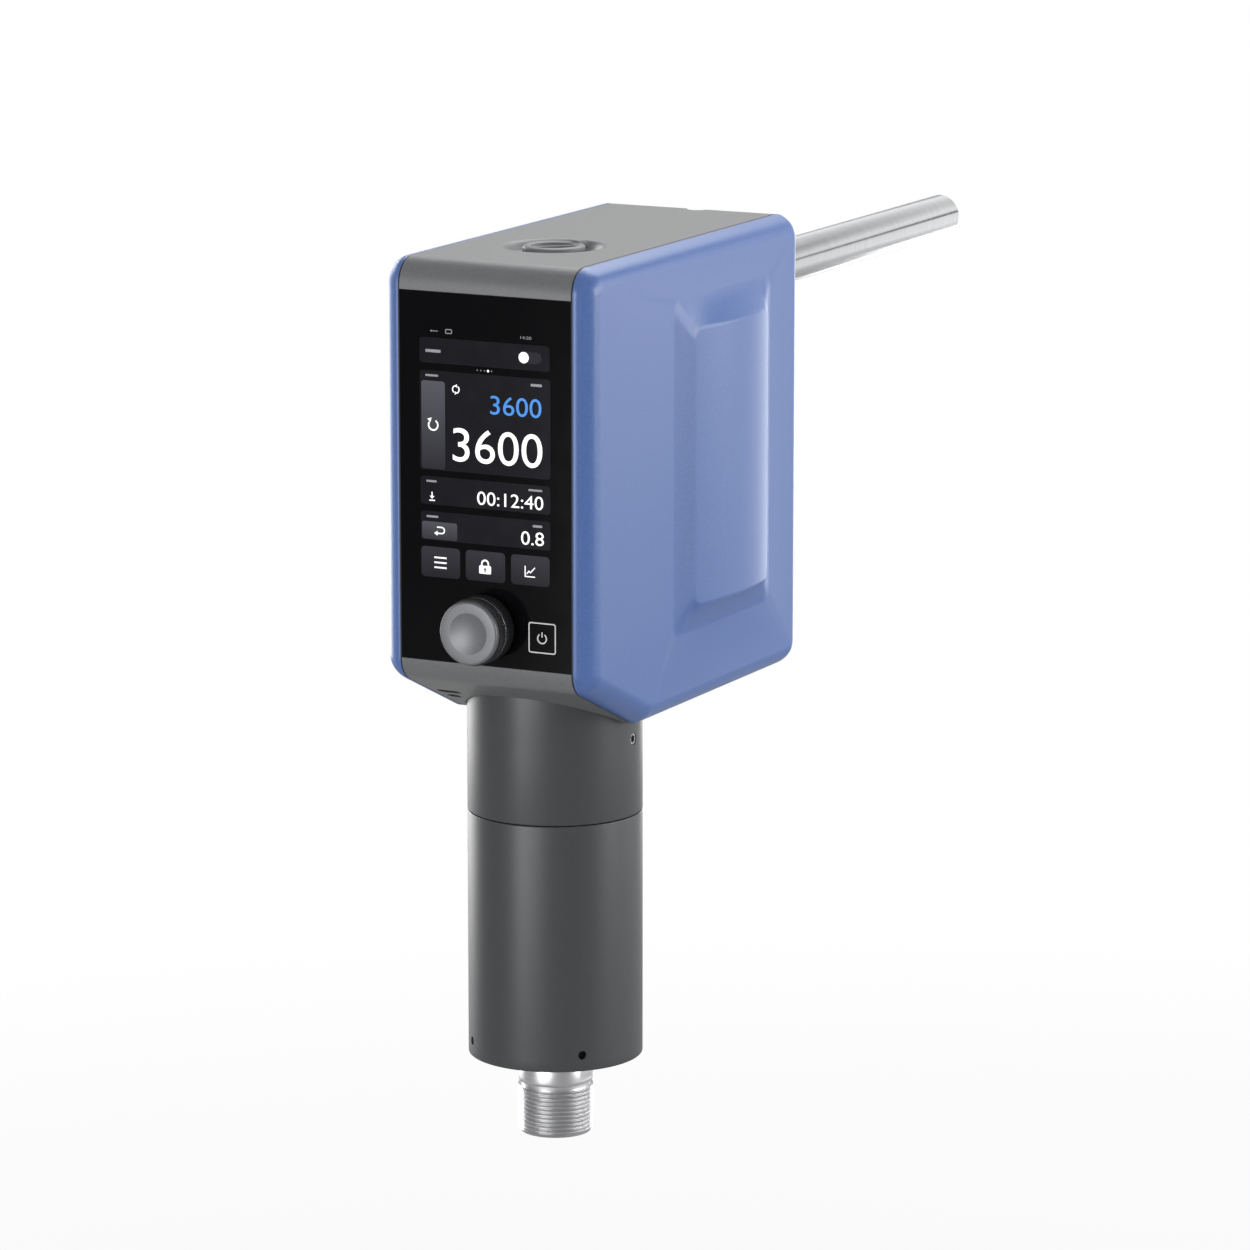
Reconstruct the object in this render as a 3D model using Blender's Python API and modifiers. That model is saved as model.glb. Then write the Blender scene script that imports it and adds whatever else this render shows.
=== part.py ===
"""Overhead stirrer with a touch panel, a through-going hollow spindle and a support rod.

Sizes are in metres. The housing is modelled from its own datum, the middle of the
width at the front glass plane and the top face: +X to the right seen from the front,
+Y from the glass to the back and +Z up. An empty carries that datum, and puts the
origin of the whole part on the support rod's axis, halfway along its free length.
"""

import math

import bmesh
import bpy
from mathutils import Matrix, Vector

MM = 0.001

# Fits
FIT_GAP = 0.3 * MM
SLIP_GAP = 0.25 * MM

# Screw heads of the inner fixings
HEAD_RADIUS = 3.5 * MM
HEAD_HEIGHT = 2.25 * MM
HEAD_MARGIN = 4.8 * MM

# Centre frame, a die-cast ring open at both sides
FRAME_WIDTH = 65.0 * MM
HOUSING_LENGTH = 165.5 * MM
FRAME_WALL = 5.0 * MM
CHAMFER_RUN = 44.0 * MM
CHAMFER_RISE = 19.3 * MM
FRONT_BEND = 9.0 * MM
BACK_BEND = 8.0 * MM
CHAMFER_BEND = 8.0 * MM
INNER_BEND = 3.0 * MM
SEAT_THICKNESS = 24.0 * MM
SEAT_WALL = 10.9 * MM

# Side covers
COVER_DEPTH = 7.5 * MM
COVER_ROUND = 7.0 * MM
COVER_WALL = 3.5 * MM
PAD_FRONT = 61.6 * MM
PAD_BACK = 139.2 * MM
PAD_TOP_DROP = 18.0 * MM
PAD_BOTTOM_RISE = 26.7 * MM
PAD_END_SKIRT = 9.8 * MM
PAD_SIDE_SKIRT = 10.4 * MM
PAD_EDGE_HEIGHT = 3.8 * MM
PAD_CROWN = 3.3 * MM
PAD_ROOT = 1.5 * MM
CLIP_WIDTH = 12.0 * MM
CLIP_THICKNESS = 2.0 * MM
CLIP_REACH = 6.0 * MM

# Front glass and display
GLASS_TOP_DROP = 10.6 * MM
GLASS_BELOW_KNOB = 13.1 * MM
LIP_BELOW_GLASS = 6.2 * MM
GLASS_THICKNESS = 2.0 * MM
DISPLAY_WIDTH = 56.0 * MM
DISPLAY_HEIGHT = 92.0 * MM
DISPLAY_TOP_DROP = 17.0 * MM
DISPLAY_THICKNESS = 3.2 * MM
BOARD_THICKNESS = 1.6 * MM
BOARD_WIDTH = 58.0 * MM
BOARD_MARGIN = 3.0 * MM
PROCESSOR_SIZE = 16.0 * MM
PROCESSOR_HEIGHT = 2.0 * MM
STANDOFF_LENGTH = 4.0 * MM
STANDOFF_RADIUS = 2.4 * MM
STANDOFF_SPREAD = 24.0 * MM
STANDOFF_MARGIN = 4.5 * MM

# Knob and its encoder
KNOB_BELOW_DISPLAY = 14.4 * MM
KNOB_RADIUS = 11.5 * MM
KNOB_FACE_RADIUS = 10.9 * MM
KNOB_REACH = 13.0 * MM
KNOB_RING_REACH = 6.6 * MM
KNOB_RING_WIDTH = 0.7 * MM
KNOB_DISH_RADIUS = 7.1 * MM
KNOB_DISH_DEPTH = 1.6 * MM
KNOB_TRAVEL = 0.6 * MM
KNOB_STANDOFF = 1.0 * MM
KNOB_CAP_DEPTH = 2.2 * MM
KNOB_EDGE = 0.8 * MM
KNOB_WALL = 2.0 * MM
KNOB_CORE_DEPTH = 3.0 * MM
GRIP_EDGE = 0.4 * MM
RING_STEP = 0.2 * MM
ENCODER_SIZE = 13.0 * MM
ENCODER_DEPTH = 8.0 * MM
ENCODER_SHAFT_RADIUS = 3.0 * MM
ENCODER_BUSH_RADIUS = 4.5 * MM
PLUNGER_THICKNESS = 1.5 * MM
PLUNGER_STEP = 0.5 * MM

# Drive tube below the housing
TUBE_AXIS = 50.74 * MM
TUBE_RADIUS = 30.4 * MM
TUBE_WALL = 2.7 * MM
UPPER_TUBE_EXPOSED = 34.1 * MM
LOWER_TUBE_LENGTH = 87.1 * MM
TUBE_HOLE_GAP = 0.5 * MM
RIM_CHAMFER = 0.6 * MM
FLANGE_THICKNESS = 8.0 * MM
FLANGE_SIDE_MARGIN = 0.6 * MM
FLANGE_END_MARGIN = 4.6 * MM
FLANGE_CORNER = 6.0 * MM
SPIGOT_DEPTH = 8.0 * MM
SPIGOT_WALL = 3.0 * MM
GRUB_BELOW_HOUSING = 7.0 * MM
GRUB_RADIUS = 2.0 * MM
GRUB_SUNK = 0.3 * MM
RIM_SCREW_RISE = 5.8 * MM
RIM_SCREW_RADIUS = 1.4 * MM
RIM_SCREW_SUNK = 1.2 * MM
RIM_SCREW_ANGLES = (45, 135, 225, 315)
PLATE_SCREW_HEAD = 2.7 * MM
PLATE_SCREW_PROUD = 0.4 * MM
PLATE_SCREW_SINK = 2.0 * MM
PLATE_SCREW_MARGIN = 1.2 * MM
BASE_THICKNESS = 15.0 * MM

# Threaded collar
COLLAR_RADIUS = 13.15 * MM
COLLAR_LENGTH = 28.6 * MM
NECK_LENGTH = 10.3 * MM
NECK_RADIUS = 12.9 * MM
FLATS_ACROSS = 24.0 * MM
GROOVE_RADIUS = 12.0 * MM
GROOVE_WIDTH = 1.6 * MM
COLLAR_BORE = 9.0 * MM
COLLAR_CHAMFER = 1.0 * MM
COLLAR_SPIGOT_RADIUS = 11.0 * MM
COLLAR_SPIGOT_LENGTH = 6.0 * MM

# Spindle, motor and bearings
SPINDLE_RADIUS = 7.5 * MM
SPINDLE_BORE = 5.25 * MM
SPINDLE_EDGE = 0.8 * MM
SPINDLE_ABOVE_SEAT = 12.0 * MM
NOSE_RECESS = 2.0 * MM
DRIVE_SLOT_WIDTH = 3.0 * MM
DRIVE_SLOT_DEPTH = 6.0 * MM
BEARING_RADIUS = 14.0 * MM
BEARING_WIDTH = 7.0 * MM
BEARING_RACE = 1.7 * MM
BEARING_BALLS = 8
CAGE_WALL = 1.0 * MM
SHAFT_CLEARANCE = 3.0 * MM
STATOR_BELOW_SEAT = 14.0 * MM
STATOR_ABOVE_SPIGOT = 4.1 * MM
STATOR_TEETH = 12
STATOR_DEPTH = 12.4 * MM
STATOR_YOKE = 4.0 * MM
STATOR_TOOTH = 3.6 * MM
STATOR_SHOE = 1.8 * MM
SHOE_SHARE = 0.84
WINDING_HEIGHT = 5.0 * MM
SLOT_INSET = 0.8 * MM
AIR_GAP = 0.6 * MM
MAGNET_THICKNESS = 2.6 * MM
SEAL_WIDTH = 4.0 * MM

# Support rod and its clamp
ROD_RADIUS = 8.0 * MM
ROD_DROP = 28.7 * MM
ROD_EXPOSED = 213.5 * MM
ROD_CHAMFER = 0.8 * MM
CLAMP_DEPTH = 34.0 * MM
CLAMP_HALF_WIDTH = 20.0 * MM
CLAMP_HALF_HEIGHT = 17.0 * MM
CLAMP_SLIT = 2.0 * MM
CLAMP_SCREW_RADIUS = 2.5 * MM
ROD_INSET = 6.0 * MM

# Cap over the spindle passage
DISH_RADIUS = 18.2 * MM
DISH_FLOOR_RADIUS = 13.2 * MM
DISH_DEPTH = 3.5 * MM
CAP_RADIUS = 11.0 * MM
CAP_HEIGHT = 3.6 * MM
CAP_RECESS_RADIUS = 7.6 * MM
CAP_RECESS_DEPTH = 1.3 * MM
CAP_STEM_RADIUS = 6.6 * MM
CAP_STEM_LENGTH = 8.0 * MM
CAP_EDGE = 1.2 * MM
CAP_EDGE_STEP = 0.4 * MM
CAP_TAB_ANGLE = math.radians(66.0)
CAP_TAB_LENGTH = 4.8 * MM
CAP_TAB_WIDTH = 4.4 * MM
CAP_TAB_THICKNESS = 3.0 * MM
CAP_TAB_REACH = 0.3 * MM
CAP_TAB_PROUD = 0.8 * MM
CAP_TAB_EDGE = 0.6 * MM
CAP_BAR_ANGLE = math.radians(40.0)
CAP_BAR_WIDTH = 1.4 * MM
CAP_BAR_HEIGHT = 0.8 * MM
CAP_BAR_ROOT = 0.2 * MM
SEAL_GROOVE_DEPTH = 1.4 * MM
SEAL_CORD_RADIUS = 0.8 * MM
GUIDE_BORE = 7.3 * MM
GUIDE_WALL = 1.6 * MM
GUIDE_FLANGE_RADIUS = 14.0 * MM
GUIDE_FLANGE_THICKNESS = 2.0 * MM

# Mains inlet and power supply
INLET_RISE = 44.0 * MM
INLET_WIDTH = 28.0 * MM
INLET_HEIGHT = 20.5 * MM
INLET_DEPTH = 22.0 * MM
INLET_LIP = 2.0 * MM
INLET_LIP_THICKNESS = 2.2 * MM
INLET_SPACE_WIDTH = 24.4 * MM
INLET_SPACE_HEIGHT = 16.8 * MM
INLET_SPACE_DEPTH = 17.0 * MM
INLET_CORNER = 4.0 * MM
PIN_WIDTH = 4.0 * MM
PIN_THICKNESS = 2.0 * MM
PIN_LENGTH = 14.0 * MM
PIN_SPACING = 7.0 * MM
PIN_OFFSET = 4.0 * MM
SUPPLY_SEAT_GAP = 5.0 * MM
SUPPLY_HALF_WIDTH = 28.0 * MM
SUPPLY_STANDOFF = 5.0 * MM
SUPPLY_BACK_GAP = 2.0 * MM
SUPPLY_FOOT_MARGIN = 5.0 * MM
SUPPLY_PART_MARGIN = 4.0 * MM
CHOKE_SIZE = 22.0 * MM
CHOKE_HEIGHT = 20.0 * MM
CAPACITOR_RADIUS = 6.0 * MM
CAPACITOR_HEIGHT = 20.0 * MM
CAPACITOR_GAP = 2.0 * MM
RIBBON_MIDDLE = 18.0 * MM
RIBBON_WIDTH = 13.0 * MM
RIBBON_THICKNESS = 0.9 * MM
RIBBON_BEND = 4.0 * MM
RIBBON_SOCKET = 4.0 * MM
RIBBON_SOCKET_DEPTH = 5.0 * MM
RIBBON_RISE = 16.5 * MM

# Underside sockets in the sloped face, left of the tube
DATA_SOCKET_MARGIN = 6.55 * MM
DATA_SOCKET_WIDTH = 7.6 * MM
SENSOR_SOCKET_MARGIN = 5.15 * MM
SENSOR_SOCKET_WIDTH = 3.8 * MM
SOCKET_HEIGHT = 2.8 * MM
SOCKET_DEPTH = 4.0 * MM
SOCKET_WALL = 0.5 * MM
SOCKET_SPACING = 6.5 * MM
SOCKET_REACH = 3.35 * MM
SOCKET_TUBE_GAP = 1.08 * MM

# Notch in the top edge at the back
NOTCH_X = 2.0 * MM
NOTCH_WIDTH = 10.5 * MM
NOTCH_DEPTH = 3.0 * MM

# Tessellation
ARC_STEP = math.radians(15.0)
COARSE_ARC_STEP = math.radians(30.0)
FINE_STEPS = 36
ROUND_STEPS = 28
INNER_STEPS = 20
BORE_STEPS = 16
SMALL_STEPS = 12
SEAL_SIDES = 6
SHARP_ANGLE = math.radians(30.0)

# Places down the front, each from the one above it
STANDOFF_UPPER_DROP = DISPLAY_TOP_DROP - STANDOFF_MARGIN
STANDOFF_LOWER_DROP = DISPLAY_TOP_DROP + DISPLAY_HEIGHT + STANDOFF_MARGIN
BOARD_TOP_DROP = STANDOFF_UPPER_DROP - BOARD_MARGIN
BOARD_BOTTOM_DROP = STANDOFF_LOWER_DROP + BOARD_MARGIN
KNOB_DROP = DISPLAY_TOP_DROP + DISPLAY_HEIGHT + KNOB_BELOW_DISPLAY
GLASS_BOTTOM_DROP = KNOB_DROP + GLASS_BELOW_KNOB
CHAMFER_DROP = GLASS_BOTTOM_DROP + LIP_BELOW_GLASS
HOUSING_HEIGHT = CHAMFER_DROP + CHAMFER_RISE
SOCKET_PITCH = math.atan2(CHAMFER_RISE, CHAMFER_RUN)

# Places that keep to the housing's floor and the drive tube
SEAT_DROP = HOUSING_HEIGHT - SEAT_THICKNESS
PAD_BOTTOM_DROP = HOUSING_HEIGHT - PAD_BOTTOM_RISE
INLET_DROP = HOUSING_HEIGHT - INLET_RISE
SEAT_BACK = TUBE_AXIS + TUBE_RADIUS + SEAT_WALL
SUPPLY_FRONT = SEAT_BACK + SUPPLY_SEAT_GAP
RIBBON_Z = -(BOARD_BOTTOM_DROP - RIBBON_RISE)
GRUB_DROP = HOUSING_HEIGHT + GRUB_BELOW_HOUSING
TUBE_SEAM_DROP = HOUSING_HEIGHT + UPPER_TUBE_EXPOSED
TUBE_RIM_DROP = TUBE_SEAM_DROP + LOWER_TUBE_LENGTH
RIM_SCREW_DROP = TUBE_RIM_DROP - RIM_SCREW_RISE
SPINDLE_TOP_DROP = SEAT_DROP - SPINDLE_ABOVE_SEAT
STATOR_TOP_DROP = SEAT_DROP + STATOR_BELOW_SEAT
STATOR_LENGTH = TUBE_SEAM_DROP - SPIGOT_DEPTH - STATOR_ABOVE_SPIGOT - STATOR_TOP_DROP

# Other places worked out from the sizes above
HALF_FRAME = FRAME_WIDTH / 2 - FIT_GAP / 2
COVER_INNER = FRAME_WIDTH / 2 + FIT_GAP / 2
COVER_OUTER = FRAME_WIDTH / 2 + COVER_DEPTH
GLASS_BACK = GLASS_THICKNESS + FIT_GAP
TUBE_INNER = TUBE_RADIUS - TUBE_WALL
FLANGE_HALF_WIDTH = TUBE_RADIUS + FLANGE_SIDE_MARGIN
FLANGE_HALF_LENGTH = TUBE_RADIUS + FLANGE_END_MARGIN
STATOR_BORE = TUBE_INNER - STATOR_DEPTH
FRONT_Y = -(ROD_EXPOSED / 2 + HOUSING_LENGTH)

# The sockets keep to the frame's left side and clear of the tube behind them
DATA_SOCKET_X = -(HALF_FRAME - DATA_SOCKET_MARGIN)
SENSOR_SOCKET_X = -(HALF_FRAME - SENSOR_SOCKET_MARGIN)
SENSOR_SOCKET_INNER = -SENSOR_SOCKET_X - SENSOR_SOCKET_WIDTH / 2 - SOCKET_WALL
TUBE_CLEARANCE = (TUBE_RADIUS + SOCKET_TUBE_GAP) ** 2 - SENSOR_SOCKET_INNER**2
TUBE_FRONT = TUBE_AXIS - math.sqrt(max(TUBE_CLEARANCE, 0.0))
SENSOR_SOCKET_BACK = TUBE_FRONT - SOCKET_REACH
DATA_SOCKET_BACK = SENSOR_SOCKET_BACK - SOCKET_SPACING

SIDE_PLANE = (math.pi / 2, 0.0, math.pi / 2)
TO_FRONT = (math.pi / 2, 0.0, 0.0)
TO_BACK = (-math.pi / 2, 0.0, 0.0)


def clear_scene():
    for item in list(bpy.data.objects):
        bpy.data.objects.remove(item, do_unlink=True)


def new_collection(name):
    collection = bpy.data.collections.new(name)
    bpy.context.scene.collection.children.link(collection)
    return collection


def material(name, color, roughness, metallic=0.0):
    """A Principled material with the piece's colour in linear light."""
    finish = bpy.data.materials.new(name)
    finish.use_nodes = True
    shader = finish.node_tree.nodes["Principled BSDF"]
    shader.inputs["Base Color"].default_value = (*color, 1.0)
    shader.inputs["Roughness"].default_value = roughness
    shader.inputs["Metallic"].default_value = metallic
    return finish


clear_scene()
PARTS = new_collection("overhead_stirrer")
CUTTERS = new_collection("cutters")

DATUM = bpy.data.objects.new("housing_datum", None)
DATUM.location = (0.0, FRONT_Y, ROD_DROP)
PARTS.objects.link(DATUM)

GREY_PAINT = material("grey_paint", (0.17, 0.17, 0.18), 0.45)
BLUE_PAINT = material("blue_paint", (0.15, 0.22, 0.45), 0.45)
BLACK_GLASS = material("black_glass", (0.006, 0.005, 0.007), 0.1)
DARK_PLASTIC = material("dark_plastic", (0.03, 0.03, 0.032), 0.55)
LIGHT_PLASTIC = material("light_plastic", (0.6, 0.6, 0.58), 0.5)
RUBBER = material("rubber", (0.03, 0.03, 0.03), 0.8)
TUBE_PAINT = material("tube_paint", (0.09, 0.09, 0.095), 0.5)
STEEL = material("steel", (0.55, 0.56, 0.57), 0.3, 1.0)
ALUMINIUM = material("aluminium", (0.5, 0.5, 0.51), 0.4, 1.0)
COPPER = material("copper", (0.6, 0.25, 0.12), 0.4, 1.0)
BOARD_GREEN = material("board_green", (0.02, 0.13, 0.05), 0.5)
CAP_PLASTIC = material("cap_plastic", (0.2, 0.2, 0.21), 0.5)


def add(name, mesh, finish, at=(0, 0, 0), turn=(0, 0, 0), parent=None):
    """Place a mesh as one named piece under the datum or under a joint's empty."""
    piece = bpy.data.objects.new(name, mesh)
    PARTS.objects.link(piece)
    piece.parent = parent or DATUM
    piece.location = at
    piece.rotation_euler = turn
    mesh.materials.append(finish)
    return piece


def pivot(name, at, parent=None):
    """An empty on a joint's axis, which carries the pieces that move with it."""
    empty = bpy.data.objects.new(name, None)
    PARTS.objects.link(empty)
    empty.parent = parent or DATUM
    empty.location = at
    return empty


def as_cutter(piece):
    PARTS.objects.unlink(piece)
    CUTTERS.objects.link(piece)
    piece.hide_render = True
    piece.display_type = "WIRE"
    return piece


def boolean(piece, tool, operation="DIFFERENCE"):
    modifier = piece.modifiers.new(operation.lower(), "BOOLEAN")
    modifier.operation = operation
    modifier.object = tool
    modifier.solver = "EXACT"


def cut(piece, *tools):
    for tool in tools:
        boolean(piece, as_cutter(tool))


def join(piece, *tools):
    for tool in tools:
        boolean(piece, as_cutter(tool), "UNION")


def bevel(piece, width, segments=2, angle=SHARP_ANGLE):
    modifier = piece.modifiers.new("rounded_edges", "BEVEL")
    modifier.width = width
    modifier.segments = segments
    modifier.limit_method = "ANGLE"
    modifier.angle_limit = angle


def smooth(mesh):
    mesh.shade_smooth()
    mesh.set_sharp_from_angle(angle=SHARP_ANGLE)


def evaluated_mesh(piece):
    """The piece's mesh with its modifiers or curve settings worked in, and welded."""
    graph = bpy.context.evaluated_depsgraph_get()
    mesh = bpy.data.meshes.new_from_object(piece.evaluated_get(graph))
    work = bmesh.new()
    work.from_mesh(mesh)
    bmesh.ops.remove_doubles(work, verts=work.verts, dist=MM / 1000)
    work.to_mesh(mesh)
    work.free()
    smooth(mesh)
    return mesh


def box(name, low, high, finish, parent=None, turn=(0, 0, 0)):
    """A block between two corners, with its origin at its middle."""
    size = Vector(high) - Vector(low)
    work = bmesh.new()
    bmesh.ops.create_cube(work, size=1.0)
    bmesh.ops.scale(work, vec=size, verts=work.verts)
    mesh = bpy.data.meshes.new(name)
    work.to_mesh(mesh)
    work.free()
    middle = (Vector(high) + Vector(low)) / 2
    return add(name, mesh, finish, middle, turn, parent)


def cylinder(name, radius, length, finish, at, turn=(0, 0, 0), parent=None, steps=SMALL_STEPS):
    """A plain cylinder centred on its place, along its own Z."""
    work = bmesh.new()
    bmesh.ops.create_cone(
        work, cap_ends=True, segments=steps, radius1=radius, radius2=radius, depth=length
    )
    mesh = bpy.data.meshes.new(name)
    work.to_mesh(mesh)
    work.free()
    smooth(mesh)
    return add(name, mesh, finish, at, turn, parent)


def turned(name, profile, finish, at=(0, 0, 0), turn=(0, 0, 0), parent=None, steps=ROUND_STEPS):
    """A turned piece: (radius, height) points down the outer side, then up the bore.

    A profile that starts and ends on the axis is left open there and gives a solid;
    any other profile is closed into a ring.
    """
    rows = [(radius, 0.0, height) for radius, height in profile]
    edges = [(index, index + 1) for index in range(len(rows) - 1)]
    if profile[0][0] > 0:
        edges.append((len(rows) - 1, 0))
    mesh = bpy.data.meshes.new(name)
    mesh.from_pydata(rows, edges, [])
    draft = bpy.data.objects.new(name + "_profile", mesh)
    bpy.context.scene.collection.objects.link(draft)
    screw = draft.modifiers.new("turn", "SCREW")
    screw.axis = "Z"
    screw.angle = 2 * math.pi
    screw.steps = steps
    screw.render_steps = steps
    screw.use_merge_vertices = True
    screw.merge_threshold = MM / 100
    bpy.context.view_layer.update()
    solid = evaluated_mesh(draft)
    bpy.data.objects.remove(draft, do_unlink=True)
    return add(name, solid, finish, at, turn, parent)


def hex_head(name, at, turn=(0, 0, 0)):
    """A hexagon screw head, twice as long as it shows, so its root joins what it holds."""
    return cylinder(name, HEAD_RADIUS, 2 * HEAD_HEIGHT, STEEL, at, turn, steps=6)


def ring(outer, inner, top, bottom, chamfer=0.0):
    """Profile of a plain ring between two heights, with its outer edges broken."""
    if chamfer:
        side = [(outer - chamfer, top), (outer, top - chamfer)]
        side += [(outer, bottom + chamfer), (outer - chamfer, bottom)]
    else:
        side = [(outer, top), (outer, bottom)]
    return side + [(inner, bottom), (inner, top)]


def plate(name, outlines, thickness, finish, at, turn, parent=None):
    """A flat outline, with any holes, given a thickness about its own plane."""
    curve = bpy.data.curves.new(name, "CURVE")
    curve.dimensions = "2D"
    curve.fill_mode = "BOTH"
    curve.extrude = thickness / 2
    for outline in outlines:
        spline = curve.splines.new("POLY")
        spline.points.add(len(outline) - 1)
        for point, (across, up) in zip(spline.points, outline):
            point.co = (across, up, 0.0, 1.0)
        spline.use_cyclic_u = True
    draft = bpy.data.objects.new(name + "_outline", curve)
    bpy.context.scene.collection.objects.link(draft)
    bpy.context.view_layer.update()
    mesh = evaluated_mesh(draft)
    bpy.data.objects.remove(draft, do_unlink=True)
    return add(name, mesh, finish, at, turn, parent)


def rounded(corners, arc_step=ARC_STEP):
    """Closed outline through corners (across, up, radius), each bend an arc."""
    points = []
    count = len(corners)
    for index, (across, up, radius) in enumerate(corners):
        corner = Vector((across, up))
        before = (Vector(corners[index - 1][:2]) - corner).normalized()
        after = (Vector(corners[(index + 1) % count][:2]) - corner).normalized()
        opening = before.angle(after)
        sweep = math.pi - opening
        if radius <= 0 or sweep < math.radians(1):
            points.append(tuple(corner))
            continue
        middle = (before + after).normalized()
        centre = corner + middle * (radius / math.sin(opening / 2))
        first = corner + before * (radius / math.tan(opening / 2)) - centre
        side = math.copysign(1.0, before.cross(after)) * -1.0
        steps = max(2, math.ceil(sweep / arc_step))
        for step in range(steps + 1):
            angle = side * sweep * step / steps
            turned_x = first.x * math.cos(angle) - first.y * math.sin(angle)
            turned_y = first.x * math.sin(angle) + first.y * math.cos(angle)
            points.append((centre.x + turned_x, centre.y + turned_y))
    return points


def inset(corners, distance, least=0.5 * MM):
    """The same corners moved inward by a distance, with their bends tightened to match."""
    moved = []
    count = len(corners)
    area = sum(
        corners[i - 1][0] * corners[i][1] - corners[i][0] * corners[i - 1][1] for i in range(count)
    )
    inward = math.copysign(1.0, area)
    for index in range(count):
        corner = Vector(corners[index][:2])
        ahead = (Vector(corners[(index + 1) % count][:2]) - corner).normalized()
        behind = (corner - Vector(corners[index - 1][:2])).normalized()
        normal_ahead = Vector((-ahead.y, ahead.x)) * inward
        normal_behind = Vector((-behind.y, behind.x)) * inward
        bisector = (normal_ahead + normal_behind).normalized()
        shift = distance / bisector.dot(normal_ahead)
        place = corner + bisector * shift
        moved.append((place.x, place.y, max(corners[index][2] - distance, least)))
    return moved


def rectangle(left, bottom, right, top, radius=0.0):
    return rounded(
        [(left, bottom, radius), (right, bottom, radius), (right, top, radius), (left, top, radius)]
    )


HOUSING_CORNERS = [
    (0.0, 0.0, FRONT_BEND),
    (0.0, -CHAMFER_DROP, FRONT_BEND),
    (CHAMFER_RUN, -HOUSING_HEIGHT, CHAMFER_BEND),
    (HOUSING_LENGTH, -HOUSING_HEIGHT, FRONT_BEND),
    (HOUSING_LENGTH, 0.0, BACK_BEND),
]


def build_centre_frame():
    """The cast ring: walls all round, with a deep seat at the bottom that grips the tube."""
    inner = [
        (FRAME_WALL, -FRAME_WALL, INNER_BEND),
        (FRAME_WALL, -SEAT_DROP, INNER_BEND),
        (SEAT_BACK, -SEAT_DROP, INNER_BEND),
        (SEAT_BACK, -(HOUSING_HEIGHT - FRAME_WALL), INNER_BEND),
        (HOUSING_LENGTH - FRAME_WALL, -(HOUSING_HEIGHT - FRAME_WALL), INNER_BEND),
        (HOUSING_LENGTH - FRAME_WALL, -FRAME_WALL, INNER_BEND),
    ]
    frame = plate(
        "centre_frame",
        [rounded(HOUSING_CORNERS), rounded(inner)],
        2 * HALF_FRAME,
        GREY_PAINT,
        (0, 0, 0),
        SIDE_PLANE,
    )
    over = FRAME_WIDTH
    glass_step = box(
        "glass_step_cutter",
        (-over, -over, -(GLASS_BOTTOM_DROP + FIT_GAP)),
        (over, GLASS_BACK, -(GLASS_TOP_DROP - FIT_GAP)),
        STEEL,
    )
    window = box(
        "window_cutter",
        (-DISPLAY_WIDTH / 2 - FIT_GAP, 0, -(DISPLAY_TOP_DROP + DISPLAY_HEIGHT + FIT_GAP)),
        (DISPLAY_WIDTH / 2 + FIT_GAP, 2 * FRAME_WALL, -(DISPLAY_TOP_DROP - FIT_GAP)),
        STEEL,
    )
    bush_hole = cylinder(
        "bush_hole_cutter",
        ENCODER_BUSH_RADIUS + FIT_GAP,
        4 * FRAME_WALL,
        STEEL,
        (0, 0, -KNOB_DROP),
        TO_FRONT,
    )
    tube_hole = cylinder(
        "tube_hole_cutter",
        TUBE_RADIUS + TUBE_HOLE_GAP,
        HOUSING_HEIGHT,
        STEEL,
        (0, TUBE_AXIS, -(SEAT_DROP + HOUSING_HEIGHT / 2 - FRAME_WALL)),
        steps=FINE_STEPS,
    )
    rod_hole = cylinder(
        "rod_hole_cutter",
        ROD_RADIUS + FIT_GAP,
        4 * FRAME_WALL,
        STEEL,
        (0, HOUSING_LENGTH, -ROD_DROP),
        TO_BACK,
        steps=ROUND_STEPS,
    )
    inlet_hole = box(
        "inlet_hole_cutter",
        (-INLET_WIDTH / 2 - FIT_GAP, HOUSING_LENGTH - 2 * FRAME_WALL, inlet_z(-1) - FIT_GAP),
        (INLET_WIDTH / 2 + FIT_GAP, HOUSING_LENGTH + FRAME_WALL, inlet_z(1) + FIT_GAP),
        STEEL,
    )
    dish = turned(
        "dish_cutter",
        dish_profile(),
        STEEL,
        (0, TUBE_AXIS, 0),
        steps=FINE_STEPS,
    )
    passage = cylinder(
        "passage_cutter",
        GUIDE_BORE + GUIDE_WALL + FIT_GAP,
        4 * FRAME_WALL,
        STEEL,
        (0, TUBE_AXIS, 0),
        steps=ROUND_STEPS,
    )
    notch = cylinder(
        "notch_cutter",
        NOTCH_WIDTH / 2,
        2 * NOTCH_DEPTH,
        STEEL,
        (NOTCH_X, HOUSING_LENGTH - NOTCH_WIDTH / 4, 0),
    )
    notch.scale = (1.0, 1.6, 1.0)
    cut(frame, glass_step, window, bush_hole, tube_hole, rod_hole, inlet_hole)
    cut(frame, dish, passage, notch)
    for number, (across, drop) in enumerate(board_boss_places()):
        boss = cylinder(
            f"board_boss_tool_{number}",
            STANDOFF_RADIUS,
            STANDOFF_LENGTH + FRAME_WALL - GLASS_BACK - MM,
            STEEL,
            (across, (FRAME_WALL + STANDOFF_LENGTH + GLASS_BACK + MM) / 2, -drop),
            TO_FRONT,
        )
        join(frame, boss)
    for name, place, width in socket_list():
        spare = SOCKET_WALL + FIT_GAP
        pocket = socket_slot(
            name + "_pocket_cutter", place, width / 2 + spare, spare, SOCKET_DEPTH + FIT_GAP
        )
        cut(frame, pocket)


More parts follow.
